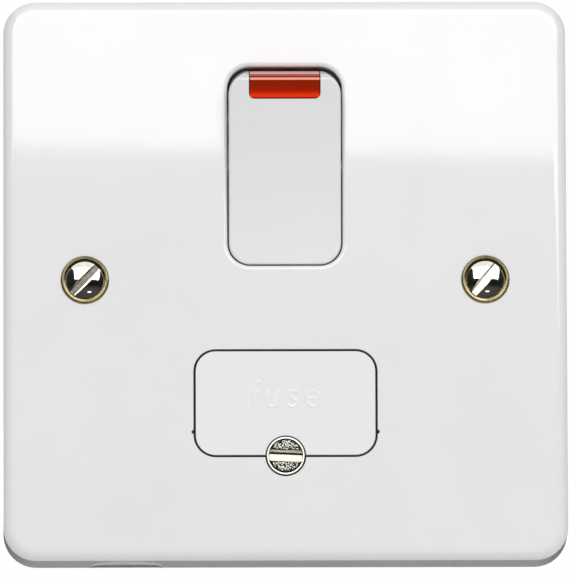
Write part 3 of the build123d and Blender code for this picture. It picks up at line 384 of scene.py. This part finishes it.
def closeTree(tree, given, taken, geometry):
    realize = geoNode(tree, "RealizeInstances")
    paint = geoNode(tree, "SetMaterial")
    tree.links.new(geometry, realize.inputs["Geometry"])
    tree.links.new(realize.outputs["Geometry"], paint.inputs["Geometry"])
    tree.links.new(given.outputs["Finish"], paint.inputs["Material"])
    tree.links.new(paint.outputs["Geometry"], taken.inputs["Geometry"])


def grown(name, mesh, tree, sizes, finish):
    seedObject = newObject(name + "Seed", mesh)
    modifier = seedObject.modifiers.new("grow", "NODES")
    modifier.node_group = tree
    for item in tree.interface.items_tree:
        if item.in_out == "INPUT" and item.name in sizes:
            modifier[item.identifier] = sizes[item.name]
        if item.in_out == "INPUT" and item.name == "Finish":
            modifier[item.identifier] = finish
    return bakedMesh(seedObject)


def threadTree():
    sizes = {"Core": 1.0, "Depth": 1.0, "Turns": 1.0, "Length": 1.0, "Steps": 1}
    tree, given, taken = newTree("screwThread", sizes)
    helix = geoNode(tree, "CurveSpiral")
    ridge = geoNode(tree, "CurvePrimitiveCircle", Resolution=4)  # four-sided, so the ridge has a sharp crest
    sweep = geoNode(tree, "CurveToMesh")
    lay = geoNode(tree, "SetCurveNormal", mode="Z_UP")
    sweep.inputs["Fill Caps"].default_value = True
    feeds = {
        "Resolution": "Steps", "Rotations": "Turns", "Start Radius": "Core", "End Radius": "Core",
        "Height": "Length",
    }
    for key, source in feeds.items():
        tree.links.new(given.outputs[source], helix.inputs[key])
    tree.links.new(given.outputs["Depth"], ridge.inputs["Radius"])
    tree.links.new(helix.outputs["Curve"], lay.inputs["Curve"])
    tree.links.new(lay.outputs["Curve"], sweep.inputs["Curve"])
    tree.links.new(ridge.outputs["Curve"], sweep.inputs["Profile Curve"])
    closeTree(tree, given, taken, sweep.outputs["Mesh"])
    return tree


def gritTree():
    sizes = {"Density": 1.0, "Smallest": 1.0, "Largest": 1.0, "Seed": 1}
    flatness = 0.45  # grains are lower than they are wide
    tree, given, taken = newTree("castGrit", sizes)
    scatter = geoNode(tree, "DistributePointsOnFaces", distribute_method="RANDOM")
    grain = geoNode(tree, "MeshIcoSphere", Radius=1.0, Subdivisions=2)
    place = geoNode(tree, "InstanceOnPoints")
    size = newNode(tree, "FunctionNodeRandomValue", data_type="FLOAT")
    flat = addNode(tree, "CombineXYZ")
    low = addNode(tree, "Math", operation="MULTIPLY")
    low.inputs[1].default_value = flatness
    tree.links.new(given.outputs["Geometry"], scatter.inputs["Mesh"])
    tree.links.new(given.outputs["Density"], scatter.inputs["Density"])
    tree.links.new(given.outputs["Seed"], scatter.inputs["Seed"])
    tree.links.new(given.outputs["Seed"], size.inputs["Seed"])
    tree.links.new(given.outputs["Smallest"], size.inputs[2])
    tree.links.new(given.outputs["Largest"], size.inputs[3])
    tree.links.new(size.outputs[1], flat.inputs["X"])
    tree.links.new(size.outputs[1], flat.inputs["Y"])
    tree.links.new(size.outputs[1], low.inputs[0])
    tree.links.new(low.outputs[0], flat.inputs["Z"])
    tree.links.new(scatter.outputs["Points"], place.inputs["Points"])
    tree.links.new(scatter.outputs["Rotation"], place.inputs["Rotation"])
    tree.links.new(grain.outputs["Mesh"], place.inputs["Instance"])
    tree.links.new(flat.outputs["Vector"], place.inputs["Scale"])
    closeTree(tree, given, taken, place.outputs["Instances"])
    return tree


threads = threadTree()
grit = gritTree()


def threadMesh(name, screw, core, depth, length):
    return grown(name, bpy.data.meshes.new("threadSeed"), threads, {
        "Core": core, "Depth": depth, "Turns": length / screw["pitch"], "Length": length,
        "Steps": screw["threadSteps"],
    }, brightNickel)


# turned shapes: points are (radius, height), the axis is Z, the front of a screw is up

closeness = {"turned": 0.001 * mm, "slotted": 0.01 * mm}  # points nearer than this become one
slotEdge = {"segments": 2, "angle": 40}
flatFront = 0.9999  # least y of a normal that looks straight to the front


def turned(points, steps):
    shape = bmesh.new()
    profile = [shape.verts.new((radius, 0, height)) for radius, height in points]
    for first, second in zip(profile, profile[1:]):
        shape.edges.new((first, second))
    bmesh.ops.spin(
        shape, geom=shape.verts[:] + shape.edges[:], cent=(0, 0, 0), axis=(0, 0, 1),
        angle=2 * math.pi, steps=steps, use_merge=True,
    )
    bmesh.ops.remove_doubles(shape, verts=shape.verts, dist=closeness["turned"])
    bmesh.ops.recalc_face_normals(shape, faces=shape.faces)
    return meshOf("turned", shape)


def slotted(mesh, slot, top, turn, reach):
    block = bmesh.new()  # cutter with leaning sides, a little higher than the head
    half, wide, deep = slot["floor"] / 2, slot["mouth"] - slot["floor"] / 2, slot["depth"]
    outline = [(-half, -deep), (-wide, deep), (wide, deep), (half, -deep)]
    if "cut" in slot:  # narrow cut along the foot of the upper side
        inner, low = half - slot["cut"], -deep - slot["cutDepth"]
        outline += [(half, low), (inner, low), (inner, -deep)]
    ends = [[block.verts.new((end, across, height)) for across, height in outline] for end in (-reach, reach)]
    block.faces.new(ends[0])
    block.faces.new(ends[1][::-1])
    for step in range(len(outline)):
        following = (step + 1) % len(outline)
        block.faces.new((ends[0][following], ends[0][step], ends[1][step], ends[1][following]))
    bmesh.ops.recalc_face_normals(block, faces=block.faces)
    for face in block.faces:
        face.material_index = 1
    block.transform(Matrix.Translation((0, 0, top)) @ Matrix.Rotation(turn, 4, "Z"))
    cutterMesh = meshOf("slotCutter", block)
    for finish in (brightNickel, milledNickel):
        mesh.materials.append(finish)
        cutterMesh.materials.append(finish)
    cutter = newObject("slotCutter", cutterMesh)
    body = newObject("slotBody", mesh)
    cut = body.modifiers.new("slot", "BOOLEAN")
    cut.object = cutter
    cut.operation = "DIFFERENCE"
    cut.solver = "EXACT"
    weld = body.modifiers.new("weld", "WELD")
    weld.merge_threshold = closeness["slotted"]
    edge = body.modifiers.new("edge", "BEVEL")
    edge.width = slot["soften"]
    edge.segments = slotEdge["segments"]
    edge.limit_method = "ANGLE"
    edge.angle_limit = math.radians(slotEdge["angle"])
    made = bakedMesh(body)
    bpy.data.objects.remove(cutter)
    return made


def smooth(mesh, angle):
    mesh.set_sharp_from_angle(angle=math.radians(angle))
    for face in mesh.polygons:  # flat fronts and milled slots keep true normals
        face.use_smooth = abs(face.normal.y) < flatFront and face.material_index == 0


def repaint(mesh, old, new):
    for face in mesh.polygons:
        if face.material_index == old:
            face.material_index = new


def joined(name, meshes):
    whole = bmesh.new()
    for mesh, place in meshes:
        part = mesh.copy()
        part.transform(place)
        whole.from_mesh(part)
        bpy.data.meshes.remove(part)
    return meshOf(name, whole)


def skinRows(shape, rows, skin=0):  # closes rows of points to a solid, ends included
    faces = []
    for left, right in zip(rows, rows[1:]):
        for step in range(len(left)):
            following = (step + 1) % len(left)
            faces.append(shape.faces.new((left[step], left[following], right[following], right[step])))
    faces += [shape.faces.new(rows[0]), shape.faces.new(rows[-1][::-1])]
    for face in faces:
        face.material_index = skin


def setPiece(name, mesh, body, slot, finishes, *stoodFor):
    piece = newObject(name, mesh)
    for finish in finishes:
        mesh.materials.append(finish)
    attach(piece, body)
    if stoodFor:
        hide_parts(*stoodFor)
    return piece


# turns +Z to -Y, so that a screw's head looks to the front
facing = Matrix.Rotation(math.radians(90), 4, "X")


# fixing screws

def fixingScrews():
    screw = {
        "dome": 6.5 * mm, "domeSteps": 14, "head": 2.8 * mm, "rim": 0.1 * mm, "underside": 2.5 * mm,
        "steps": 72, "slot": {"mouth": 1.45 * mm, "floor": 0.8 * mm, "depth": 0.9 * mm, "soften": 0.05 * mm},
        "shank": 1.5 * mm, "crest": 1.75 * mm, "pitch": 0.6 * mm, "threadStart": 0.2 * mm, "threadSteps": 28,
        "point": 0.6 * mm, "turns": (46.5, 51.0), "spacing": 60.3 * mm, "sharp": 15,
    }
    low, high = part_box("fixing_screws")
    headTop = -low.y
    headFoot = -plateLow.y - screw["underside"]
    tip = -high.y
    rise = screw["dome"] - math.sqrt(screw["dome"] ** 2 - screw["head"] ** 2)
    rimAngle = math.asin(screw["head"] / screw["dome"])
    profile = []
    for step in range(screw["domeSteps"] + 1):
        angle = rimAngle * step / screw["domeSteps"]
        profile.append((screw["dome"] * math.sin(angle), headTop - screw["dome"] * (1 - math.cos(angle))))
    depth = screw["pitch"] / 2
    core = screw["crest"] - depth
    profile += [
        (screw["head"], headTop - rise - screw["rim"]), (screw["head"], headFoot), (screw["shank"], headFoot),
        (screw["shank"], -screw["threadStart"]), (core, -screw["threadStart"] - depth),
        (core, tip + screw["point"]), (core - screw["point"] / 2, tip), (0, tip),
    ]
    threadLength = -screw["threadStart"] - depth - tip - screw["point"]
    thread = threadMesh("fixingThread", screw, core, depth, threadLength)
    slotReach = 2 * screw["head"]  # well past the rim
    parts = []
    for side, turn in zip((-1, 1), screw["turns"]):
        blank = turned(profile, screw["steps"])
        body = slotted(blank, screw["slot"], headTop, math.radians(turn), slotReach)
        if side < 0:
            repaint(body, 1, 2)
        place = Matrix.Translation((side * screw["spacing"] / 2, 0, 0)) @ facing
        parts.append((body, place))
        parts.append((thread, place @ Matrix.Translation((0, 0, tip + screw["point"]))))
    mesh = joined("fixingScrewPair", parts)
    smooth(mesh, screw["sharp"])
    finishes = [brightNickel, milledNickel, brushedNickel]
    return setPiece("fixingScrewPair", mesh, "housing", "nickel", finishes, "fixing_screws")


fixingScrews()
print("fixing screws made")


# carrier screw with a cast, gritty face

def carrierScrew():
    screw = {
        "head": 2.86 * mm, "headHeight": 1.9 * mm, "bevel": 0.07 * mm, "face": 2.43 * mm, "sunk": 0.06 * mm,
        "groove": 0.18 * mm, "grooveDepth": 0.35 * mm, "proud": 0.4 * mm, "steps": 72,
        "slot": {
            "mouth": 1.75 * mm, "floor": 0.95 * mm, "depth": 0.9 * mm, "soften": 0.02 * mm,
            "cut": 0.22 * mm, "cutDepth": 0.35 * mm,
        },
        "turn": -2.5, "z": -26.7 * mm,
        "crest": 1.5 * mm, "pitch": 0.5 * mm, "plain": 3.0 * mm, "threadSteps": 24,
        "grains": 35e6, "smallGrain": 0.04 * mm, "largeGrain": 0.115 * mm, "seed": 7, "faceSteps": 16,
        "pastFace": 0.02 * mm, "pastFloor": 0.03 * mm, "rimTilt": 0.3, "sharp": 15,
    }
    low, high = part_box("fuse_carrier_screw")
    under = -low.y - screw["headHeight"]
    top = -low.y + screw["proud"]
    tip = -high.y
    face = screw["face"]
    rim = face + screw["groove"]
    depth = screw["pitch"] / 2
    core = screw["crest"] - depth
    start = under - screw["plain"]
    profile = [
        (0, top - screw["sunk"]), (face, top - screw["sunk"]), (face, top - screw["grooveDepth"]),
        (rim, top - screw["grooveDepth"]), (rim, top), (screw["head"] - screw["bevel"], top),
        (screw["head"], top - screw["bevel"]), (screw["head"], under), (screw["crest"], under),
        (screw["crest"], start), (core, start - depth), (core, tip + depth), (core - depth, tip), (0, tip),
    ]
    threadLength = start - depth - tip - depth
    slotReach = face + screw["groove"] / 2  # the slot ends at the rim
    turn = math.radians(screw["turn"])
    body = slotted(turned(profile, screw["steps"]), screw["slot"], top, turn, slotReach)
    slotFloor = top - screw["slot"]["depth"]
    for spot in body.polygons:
        out = math.hypot(spot.center.x, spot.center.y)
        # painted shade: the head's side and its groove get the black finish, the flat rim the satin one
        if spot.material_index == 0 and spot.center.z > under and out > face + screw["pastFace"]:
            spot.material_index = 2 if spot.normal.z > screw["rimTilt"] and out > rim else 3
        elif spot.material_index == 1 and spot.center.z < slotFloor - screw["pastFloor"]:
            spot.material_index = 3  # painted shade: the cut along the slot is painted black
    thread = threadMesh("carrierThread", screw, core, depth, threadLength)
    lift = Matrix.Translation((0, 0, tip + depth))
    ground = bmesh.new()  # the two parts of the face beside the slot
    edge = screw["slot"]["mouth"] / 2 + screw["largeGrain"]
    reach = face - screw["largeGrain"]
    sweep = math.acos(edge / reach)
    for side in (-1, 1):
        outline = []
        for step in range(screw["faceSteps"] + 1):
            angle = sweep * (2 * step / screw["faceSteps"] - 1)
            point = Vector((reach * math.sin(angle), side * reach * math.cos(angle), top - screw["sunk"]))
            outline.append(ground.verts.new(point))
        ground.faces.new(outline if side < 0 else outline[::-1])
    bmesh.ops.rotate(ground, cent=(0, 0, 0), matrix=Matrix.Rotation(turn, 3, "Z"), verts=ground.verts)
    grains = grown("carrierGrit", meshOf("gritGround", ground), grit, {
        "Density": screw["grains"], "Smallest": screw["smallGrain"], "Largest": screw["largeGrain"],
        "Seed": screw["seed"],
    }, brightNickel)
    place = Matrix.Translation((0, 0, screw["z"])) @ facing
    mesh = joined("carrierScrew", [(body, place), (thread, place @ lift), (grains, place)])
    smooth(mesh, screw["sharp"])
    finishes = [brightNickel, milledNickel, satinNickel, paintedShadeBlack]
    return setPiece("carrierScrew", mesh, "fuse_screw", "nickel", finishes, "fuse_carrier_screw")


carrierScrew()
print("carrier screw made")


# lower edge of the rocker, carried on from its face to the edge of the aperture

def rockerFoot():
    foot = {
        "tilt": 6.5, "faceY": -9.412 * mm, "faceZ": 3.069 * mm, "proud": 0.008 * mm,
        "top": 3.6 * mm, "low": 2.4 * mm, "back": -7.0 * mm,
        "edge": 0.28 * mm, "edgeSteps": 8, "faceStart": 1.3,  # the face is met at this many edges inward
        "straight": 5.25 * mm, "straightSteps": 20, "corner": 3.2 * mm, "cornerTurn": 37.0, "cornerSteps": 12,
        "sharp": 30,
    }
    lean = math.tan(math.radians(foot["tilt"]))
    cornerTurn = math.radians(foot["cornerTurn"])
    outline = []  # middle of the round and turn on it along the lower edge, left to right
    for step in range(foot["cornerSteps"], 0, -1):
        outline.append((-foot["straight"], -cornerTurn * step / foot["cornerSteps"]))
    for step in range(foot["straightSteps"] + 1):
        outline.append((foot["straight"] * (2 * step / foot["straightSteps"] - 1), 0))
    for step in range(1, foot["cornerSteps"] + 1):
        outline.append((foot["straight"], cornerTurn * step / foot["cornerSteps"]))
    points = []  # distance from the middle of the round and depth below the face
    for inward in (foot["edge"] * foot["faceStart"], foot["edge"]):
        points.append((foot["corner"] - inward, 0))
    for step in range(1, foot["edgeSteps"] + 1):
        angle = math.pi / 2 * step / foot["edgeSteps"]
        reach = foot["corner"] - foot["edge"] * (1 - math.sin(angle))
        points.append((reach, foot["edge"] * (1 - math.cos(angle))))
    topY = foot["faceY"] + (foot["faceZ"] - foot["top"]) * lean - foot["proud"]
    shape = bmesh.new()
    rows = []
    for middle, turn in outline:
        row = []
        for reach, sunk in points:
            x = middle + reach * math.sin(turn)
            z = foot["low"] + foot["corner"] - reach * math.cos(turn)
            y = foot["faceY"] + (foot["faceZ"] - z) * lean - foot["proud"] + sunk
            row.append(shape.verts.new((x, y, z)))
        first, last = row[0].co, row[-1].co
        row.insert(0, shape.verts.new((first.x, topY, foot["top"])))
        row.insert(0, shape.verts.new((first.x, foot["back"], foot["top"])))
        row.append(shape.verts.new((last.x, foot["back"], last.z)))
        rows.append(row)
    skinRows(shape, rows)
    bmesh.ops.recalc_face_normals(shape, faces=shape.faces)
    mesh = meshOf("rockerFoot", shape)
    smooth(mesh, foot["sharp"])
    return setPiece("rockerFoot", mesh, "rocker", "white_plate", [rockerWhite])


rockerFoot()
print("rocker foot made")


# low relief on the carrier's face

def carrierWord():
    word = {
        "text": "fuse", "size": 5.55 * mm, "spacing": 1.22, "wide": 0.98, "tall": 1.1, "relief": 0.06 * mm,
        "core": 0.01 * mm, "edge": 0.12 * mm, "edgeSteps": 3, "thin": 0.125 * mm,
        "baseline": -19.4 * mm, "middle": 0.02 * mm, "sharp": 30,
    }
    curve = bpy.data.curves.new("carrierWord", "FONT")
    curve.body = word["text"]
    curve.size = word["size"]
    curve.space_character = word["spacing"]
    curve.align_x = "CENTER"
    curve.extrude = word["core"]
    curve.bevel_depth = word["edge"]
    curve.bevel_resolution = word["edgeSteps"]
    curve.offset = -word["thin"]
    mesh = bakedMesh(newObject("carrierWordText", curve))
    flat = word["relief"] / (word["core"] + word["edge"])
    mesh.transform(
        Matrix.Translation((word["middle"], faceY, word["baseline"])) @ facing
        @ Matrix.Diagonal((word["wide"], word["tall"], flat, 1))
    )
    smooth(mesh, word["sharp"])
    return setPiece("carrierWord", mesh, "fuse_drawer", "white_plate", [carrierWhite])


carrierWord()
print("carrier relief made")


# flex outlet in the bottom wall: moulded line round the arch, and a strip with painted shade in the slit
# along its foot

def outletTrim():
    outlet = {
        "middle": -23.9 * mm, "half": 5.0 * mm, "arch": 5.4 * mm, "rise": 6.3 * mm, "lip": 0.8 * mm,
        "draft": 0.6, "line": 0.16 * mm, "lineHalf": 0.2 * mm, "sunk": 0.05 * mm,
        "slit": 0.06 * mm, "slitDeep": 0.26 * mm, "archSteps": 28, "roundSteps": 8, "sharp": 30,
    }
    lean = math.radians(outlet["draft"])
    reach, side = outlet["arch"] + outlet["lineHalf"], outlet["half"] + outlet["lineHalf"]
    centre = outlet["rise"] - outlet["arch"]
    sweep = math.asin(side / reach)
    path = [(-side, outlet["lip"], -1, 0)]  # across, towards the front, and the way out from the arch
    for step in range(outlet["archSteps"] + 1):
        angle = sweep * (2 * step / outlet["archSteps"] - 1)
        outX, outY = math.sin(angle), math.cos(angle)
        path.append((reach * outX, centre + reach * outY, outX, outY))
    path.append((side, outlet["lip"], 1, 0))
    rounds = [math.pi * step / outlet["roundSteps"] for step in range(outlet["roundSteps"] + 1)]
    section = [(-outlet["lineHalf"], -outlet["sunk"])]
    for angle in rounds:
        section.append((-outlet["lineHalf"] * math.cos(angle), outlet["line"] * math.sin(angle)))
    section.append((outlet["lineHalf"], -outlet["sunk"]))
    shape = bmesh.new()
    lineRows, slitRows = [], []
    for across, ahead, outX, outY in path:
        spots = [(across + outX * out, ahead + outY * out, up) for out, up in section]
        lineRows.append([shape.verts.new(spot) for spot in spots])
    for across in (-outlet["half"], outlet["half"]):
        row = []
        for angle in rounds:
            ahead = outlet["lip"] + outlet["slit"] * math.sin(angle)
            row.append(shape.verts.new((across, ahead, -outlet["slitDeep"] * (1 + math.cos(angle)) / 2)))
        slitRows.append(row)
    skinRows(shape, lineRows, 0)
    # the strip in the slit takes the painted-shade grey
    skinRows(shape, slitRows, 1)
    bmesh.ops.recalc_face_normals(shape, faces=shape.faces)
    shape.transform(Matrix((
        (1, 0, 0, outlet["middle"]), (0, -math.cos(lean), -math.sin(lean), 0),
        (0, math.sin(lean), -math.cos(lean), plateLow.z), (0, 0, 0, 1),
    )))
    mesh = meshOf("outletTrim", shape)
    smooth(mesh, outlet["sharp"])
    return setPiece("outletTrim", mesh, "housing", "white_plate", [glossWhite, slitShadeGrey])


outletTrim()
print("outlet trim made")


# camera

def photoCamera():
    view = {
        "elevation": -7.6, "azimuth": -0.7, "roll": -0.2, "distance": 2.0,
        "rows": 583, "rowTall": 0.1505,  # the photo's height in pixels, and millimetres per pixel
        "aimX": -0.105 * mm, "aimZ": -1.79 * mm, "sensor": 36, "near": 0.05, "far": 50,
    }
    frameTall = view["rows"] * view["rowTall"] * mm
    data = bpy.data.cameras.new("photoCamera")
    camera = newObject("photoCamera", data)
    data.sensor_width = view["sensor"]
    data.lens = view["sensor"] * view["distance"] / frameTall
    data.clip_start = view["near"]
    data.clip_end = view["far"]
    around = math.radians(view["azimuth"])
    up = math.radians(view["elevation"])
    back = Vector((math.sin(around) * math.cos(up), -math.cos(around) * math.cos(up), math.sin(up)))
    aim = Vector((view["aimX"], faceY, view["aimZ"]))
    turn = (-back).to_track_quat("-Z", "Y").to_matrix().to_4x4()
    roll = Matrix.Rotation(math.radians(view["roll"]), 4, "Z")
    camera.matrix_world = Matrix.Translation(aim + back * view["distance"]) @ turn @ roll
    scene.camera = camera


photoCamera()


# lamps, cards that only reflections see, floor and world

def lamp(name, low, high, width, power, lean=0):
    low, high = Vector(low), Vector(high)  # middles of the panel's lower and upper edges
    rise = high - low
    data = bpy.data.lights.new(name, "AREA")
    data.shape = "RECTANGLE"
    data.size = width
    data.size_y = rise.length
    data.energy = power
    panel = newObject(name, data)
    lean = math.radians(lean)
    across = Vector((math.cos(lean), 0, -math.sin(lean)))
    outward = across.cross(rise).normalized()  # lamps shine along their own -Z
    if outward.dot(low + high) < 0:
        across, outward = -across, -outward
    upward = outward.cross(across)
    panel.matrix_world = Matrix((
        (across.x, upward.x, outward.x, 0), (across.y, upward.y, outward.y, 0),
        (across.z, upward.z, outward.z, 0), (0, 0, 0, 1),
    ))
    panel.matrix_world.translation = (low + high) / 2
    panel.visible_camera = False
    return panel


def stageSheet(name, low, high, finish):
    first, second = [axis for axis in range(3) if low[axis] != high[axis]]
    corners = [Vector(low), Vector(low), Vector(high), Vector(low)]  # an upright or level rectangle
    corners[1][first] = high[first]
    corners[3][second] = high[second]
    mesh = bpy.data.meshes.new(name)
    mesh.from_pydata(corners, [], [(0, 1, 2, 3)])
    mesh.materials.append(finish)
    sheet = newObject(name, mesh)
    return sheet


def studio():
    lamps = {
        "softbox": {
            "low": (0.12, -1.2, 0.1888), "high": (0.12, -0.9, 0.78),
            "width": 1.5, "power": 12.05, "lean": 1.2,
        },
        "rearSoftbox": {"low": (0, 1.15, 0.3), "high": (0, 0.95, 0.85), "width": 1.4, "power": 7.5},
        "lowGlint": {
            "low": (0.1, -0.55, -0.283), "high": (0.1, -0.57, -0.257), "width": 0.11, "power": 0.026,
        },
    }
    floor = {"z": -0.3, "half": 3.0}
    fill = 0.3  # strength of the white world for diffuse light
    for name, panel in lamps.items():
        lamp(name, **panel)
    paleFloor = shade({
        "name": "paleFloor", "colours": [(0.3, (0.72, 0.72, 0.72)), (0.7, (0.76, 0.76, 0.755))],
        "broad": 3, "grain": 40, "rough": (0.6, 0.8), "bump": 0.02, "bumpDepth": 0.0005,
    })
    darkLook = {
        "name": "darkCard", "colours": [(0.3, (0.012, 0.012, 0.013)), (0.7, (0.02, 0.02, 0.021))],
        "broad": 4, "grain": 60, "rough": (0.8, 0.9), "bump": 0.02, "bumpDepth": 0.0005,
    }
    darkCard = shade(darkLook)
    greyCard = shade({
        **darkLook, "name": "greyCard", "colours": [(0.3, (0.225, 0.212, 0.19)), (0.7, (0.245, 0.23, 0.208))],
    })
    half = floor["half"]
    stageSheet("floor", (-half, -half, floor["z"]), (half, half, floor["z"]), paleFloor)
    cards = {
        "frontCard": ((-4, -2.6, -3), (4, -2.6, 0.55), darkCard),
        "lowCard": ((-2.5, -2.6, -0.295), (2.5, -0.1, -0.295), darkCard),
        "rearCard": ((-2.5, 0.2, -0.295), (2.5, 2.9, -0.295), greyCard),
        "backCard": ((-2.5, 2.9, -0.295), (2.5, 2.9, 0.3), greyCard),
        "leftCard": ((-1.1, -2.6, -0.29), (-1.1, 1.5, 1.2), darkCard),
        "rightCard": ((1.3, -2.6, -0.29), (1.3, 1.5, 1.2), darkCard),
    }
    for name, (low, high, finish) in cards.items():
        card = stageSheet(name, low, high, finish)
        card.visible_camera = False
        card.visible_diffuse = False
        card.visible_shadow = False
    world = bpy.data.worlds.new("studioWorld")
    world.use_nodes = True
    scene.world = world
    tree = world.node_tree
    background = tree.nodes["Background"]
    background.inputs["Color"].default_value = (1, 1, 1, 1)
    path = addNode(tree, "LightPath")
    seen = path.outputs["Is Camera Ray"]
    for key in ("Is Glossy Ray", "Is Transmission Ray"):
        either = addNode(tree, "Math", operation="MAXIMUM")
        tree.links.new(seen, either.inputs[0])
        tree.links.new(path.outputs[key], either.inputs[1])
        seen = either.outputs[0]
    tree.links.new(spanFrom(tree, seen, fill, 1), background.inputs["Strength"])


studio()
scene.view_settings.view_transform = "Standard"
print("camera and studio set")
